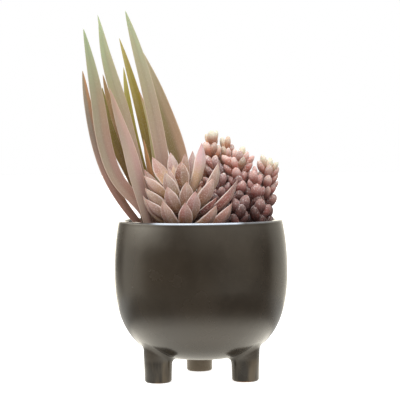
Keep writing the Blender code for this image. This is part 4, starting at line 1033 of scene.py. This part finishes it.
def build_studio():
    scene = bpy.context.scene
    scene.view_settings.view_transform = "Standard"
    mesh = bpy.data.meshes.new("studio_floor")
    bm = bmesh.new()
    bmesh.ops.create_circle(bm, cap_ends=True, segments=96, radius=9.0)
    bm.to_mesh(mesh)
    bm.free()
    floor = bpy.data.objects.new("studio_floor", mesh)
    scene.collection.objects.link(floor)
    n = Nodes("pale_floor")
    where = n.new("ShaderNodeTexCoord").outputs["Object"]
    n.link(n.mix(n.noise(where, 3.0, 3.0), (0.80, 0.80, 0.80), (0.84, 0.84, 0.84)), n.shader.inputs["Base Color"])
    n.shader.inputs["Roughness"].default_value = 0.8
    n.shader.inputs["Specular IOR Level"].default_value = 0.1
    n.shader.inputs["Emission Color"].default_value = (1.0, 1.0, 1.0, 1.0)
    n.shader.inputs["Emission Strength"].default_value = 0.86
    mesh.materials.append(n.mat)
    floor.visible_glossy = False  # the glaze mirrors the sheet and the soft bands instead
    floor.visible_diffuse = False  # and the dome lights it from below, more softly

    # a glowing sheet that only the glaze sees: a painted reflection of a lit floor, with painted shade under the bowl
    mesh = bpy.data.meshes.new("mirrored_sheet")
    bm = bmesh.new()
    bmesh.ops.create_circle(bm, cap_ends=True, segments=96, radius=SHEET[-1][0])
    bm.to_mesh(mesh)
    bm.free()
    sheet = bpy.data.objects.new("mirrored_sheet", mesh)
    sheet.location = (AXIS[0] * MM, AXIS[1] * MM, -0.0006)
    scene.collection.objects.link(sheet)
    n = Nodes("mirrored_sheet")
    where = n.new("ShaderNodeTexCoord").outputs["Object"]
    far = n.new("ShaderNodeVectorMath", operation="LENGTH")
    n.link(where, far.inputs[0])
    levels = n.new("ShaderNodeValToRGB")
    n.link(n.math("MULTIPLY", far.outputs["Value"], 1.0 / SHEET[-1][0]), levels.inputs["Fac"])
    while len(levels.color_ramp.elements) < len(SHEET):
        levels.color_ramp.elements.new(0.5)
    for element, (r, level) in zip(levels.color_ramp.elements, SHEET):
        element.position = r / SHEET[-1][0]
        element.color = (1.05 * level, 1.0 * level, 0.88 * level, 1.0)
    n.shader.inputs["Base Color"].default_value = (0.0, 0.0, 0.0, 1.0)
    place = n.new("ShaderNodeSeparateXYZ")
    n.link(where, place.inputs[0])
    skirt = n.math("MULTIPLY", n.ramp(far.outputs["Value"], 0.095, 0.130), n.ramp(place.outputs["Y"], *SHEET_BEHIND))
    n.link(n.mix(skirt, levels.outputs["Color"], (0.58, 0.57, 0.53)), n.shader.inputs["Emission Color"])
    n.shader.inputs["Emission Strength"].default_value = 1.0
    mesh.materials.append(n.mat)
    sheet.visible_camera = sheet.visible_diffuse = sheet.visible_transmission = False
    sheet.visible_volume_scatter = sheet.visible_shadow = False

    world = bpy.data.worlds.new("studio")
    scene.world = world
    world.use_nodes = True
    tree = world.node_tree
    tree.nodes.clear()
    out = tree.nodes.new("ShaderNodeOutputWorld")
    coord = tree.nodes.new("ShaderNodeTexCoord")
    split = tree.nodes.new("ShaderNodeSeparateXYZ")
    tree.links.new(coord.outputs["Generated"], split.inputs[0])
    path = tree.nodes.new("ShaderNodeLightPath")

    def background(strength):
        node = tree.nodes.new("ShaderNodeBackground")
        node.inputs["Strength"].default_value = strength
        return node

    def maths(operation, a, b):
        node = tree.nodes.new("ShaderNodeMath")
        node.operation = operation
        for value, socket in ((a, node.inputs[0]), (b, node.inputs[1])):
            if isinstance(value, (int, float)):
                socket.default_value = value
            else:
                tree.links.new(value, socket)
        return node.outputs[0]

    def ranged(socket, a, b, c, d):
        node = tree.nodes.new("ShaderNodeMapRange")
        node.interpolation_type = "SMOOTHSTEP"
        tree.links.new(socket, node.inputs["Value"])
        for name, value in (("From Min", a), ("From Max", b), ("To Min", c), ("To Max", d)):
            node.inputs[name].default_value = value
        return node.outputs["Result"]

    def mixed(fac, a, b):
        node = tree.nodes.new("ShaderNodeMix")
        node.data_type = "RGBA"
        tree.links.new(fac, node.inputs[0])
        for value, socket in ((a, node.inputs[6]), (b, node.inputs[7])):
            if isinstance(value, (int, float)):
                socket.default_value = (value, value, value, 1.0)
            else:
                tree.links.new(value, socket)
        return node.outputs[2]

    # what the glaze and the waxy leaves mirror: dark towards the front, a soft band at each side,
    # white behind and from below
    turn = maths("ADD", maths("DIVIDE", maths("ARCTAN2", split.outputs["X"], maths("MULTIPLY", split.outputs["Y"], -1.0)), math.tau), 0.5)

    def round_about(levels):
        node = tree.nodes.new("ShaderNodeValToRGB")
        tree.links.new(turn, node.inputs["Fac"])
        while len(node.color_ramp.elements) < len(levels):
            node.color_ramp.elements.new(0.5)
        for element, (at, level) in zip(node.color_ramp.elements, levels):
            element.position = at
            element.color = (*[level * w for w in WARM], 1.0)
        return node.outputs["Color"]

    above = ranged(split.outputs["Z"], 0.04, 0.40, 0.0, 1.0)
    lower = ranged(split.outputs["Z"], -0.04, -0.33, 0.0, 1.0)
    below = ranged(split.outputs["Z"], -0.35, -0.75, 0.0, 1.0)
    summit = ranged(split.outputs["Z"], 0.32, 0.60, 0.0, 1.0)
    upward = mixed(summit, mixed(above, round_about(BANDS), round_about(OVERHEAD)), 0.75)
    mirrored = background(1.0)
    tree.links.new(mixed(below, mixed(lower, upward, round_about(LOW_BANDS)), 0.5), mirrored.inputs["Color"])
    # what lights them: a pale dome, brighter overhead
    dome = background(1.0)
    upper = mixed(ranged(split.outputs["Z"], 0.0, 0.9, 0.0, 1.0), DOME[1], DOME[2])
    tree.links.new(mixed(ranged(split.outputs["Z"], 0.05, -0.55, 0.0, 1.0), upper, DOME[0]), dome.inputs["Color"])
    shown = background(1.0)
    shown.inputs["Color"].default_value = (1.0, 1.0, 1.0, 1.0)
    for_gloss = tree.nodes.new("ShaderNodeMixShader")
    tree.links.new(path.outputs["Is Glossy Ray"], for_gloss.inputs[0])
    tree.links.new(dome.outputs[0], for_gloss.inputs[1])
    tree.links.new(mirrored.outputs[0], for_gloss.inputs[2])
    for_camera = tree.nodes.new("ShaderNodeMixShader")
    tree.links.new(path.outputs["Is Camera Ray"], for_camera.inputs[0])
    tree.links.new(for_gloss.outputs[0], for_camera.inputs[1])
    tree.links.new(shown.outputs[0], for_camera.inputs[2])
    tree.links.new(for_camera.outputs[0], out.inputs["Surface"])

    area_light("key_softbox", (-0.55, -0.65, 0.95), (0.6, 0.6), 4.6, (0.0, 0.0, 0.12))
    fill = area_light("fill_softbox", (0.85, -0.45, 0.5), (0.6, 0.8), 1.2, (0.0, 0.0, 0.10))
    fill.visible_glossy = False  # the glaze shows no spot on that side
    area_light("top_softbox", (0.0, -0.15, 1.05), (0.5, 0.3), 3.0, (0.0, 0.0, 0.1))


def build_camera():
    data = bpy.data.cameras.new("camera")
    data.sensor_width, data.lens = 36.0, 129.6
    data.clip_start, data.clip_end = 0.01, 50.0
    obj = bpy.data.objects.new("camera", data)
    bpy.context.scene.collection.objects.link(obj)
    obj.rotation_mode = "QUATERNION"
    tilt, roll = math.radians(1.87), math.radians(-0.5)
    turn = Matrix.Rotation(math.radians(90.0) - tilt, 3, "X") @ Matrix.Rotation(roll, 3, "Z")
    obj.rotation_quaternion = turn.to_quaternion()
    obj.location = Vector(((AXIS[0] - 0.1) * MM, -955.0 * MM, 149.35 * MM))
    bpy.context.scene.camera = obj


def main():
    build_camera()
    build_studio()
    build_bowl(glaze_material())
    build_mix(soil_material())
    build_long_leaves(long_leaf_material())
    build_rosette(rosette_material(), stalk_material())
    build_sedum(bead_material())


main()
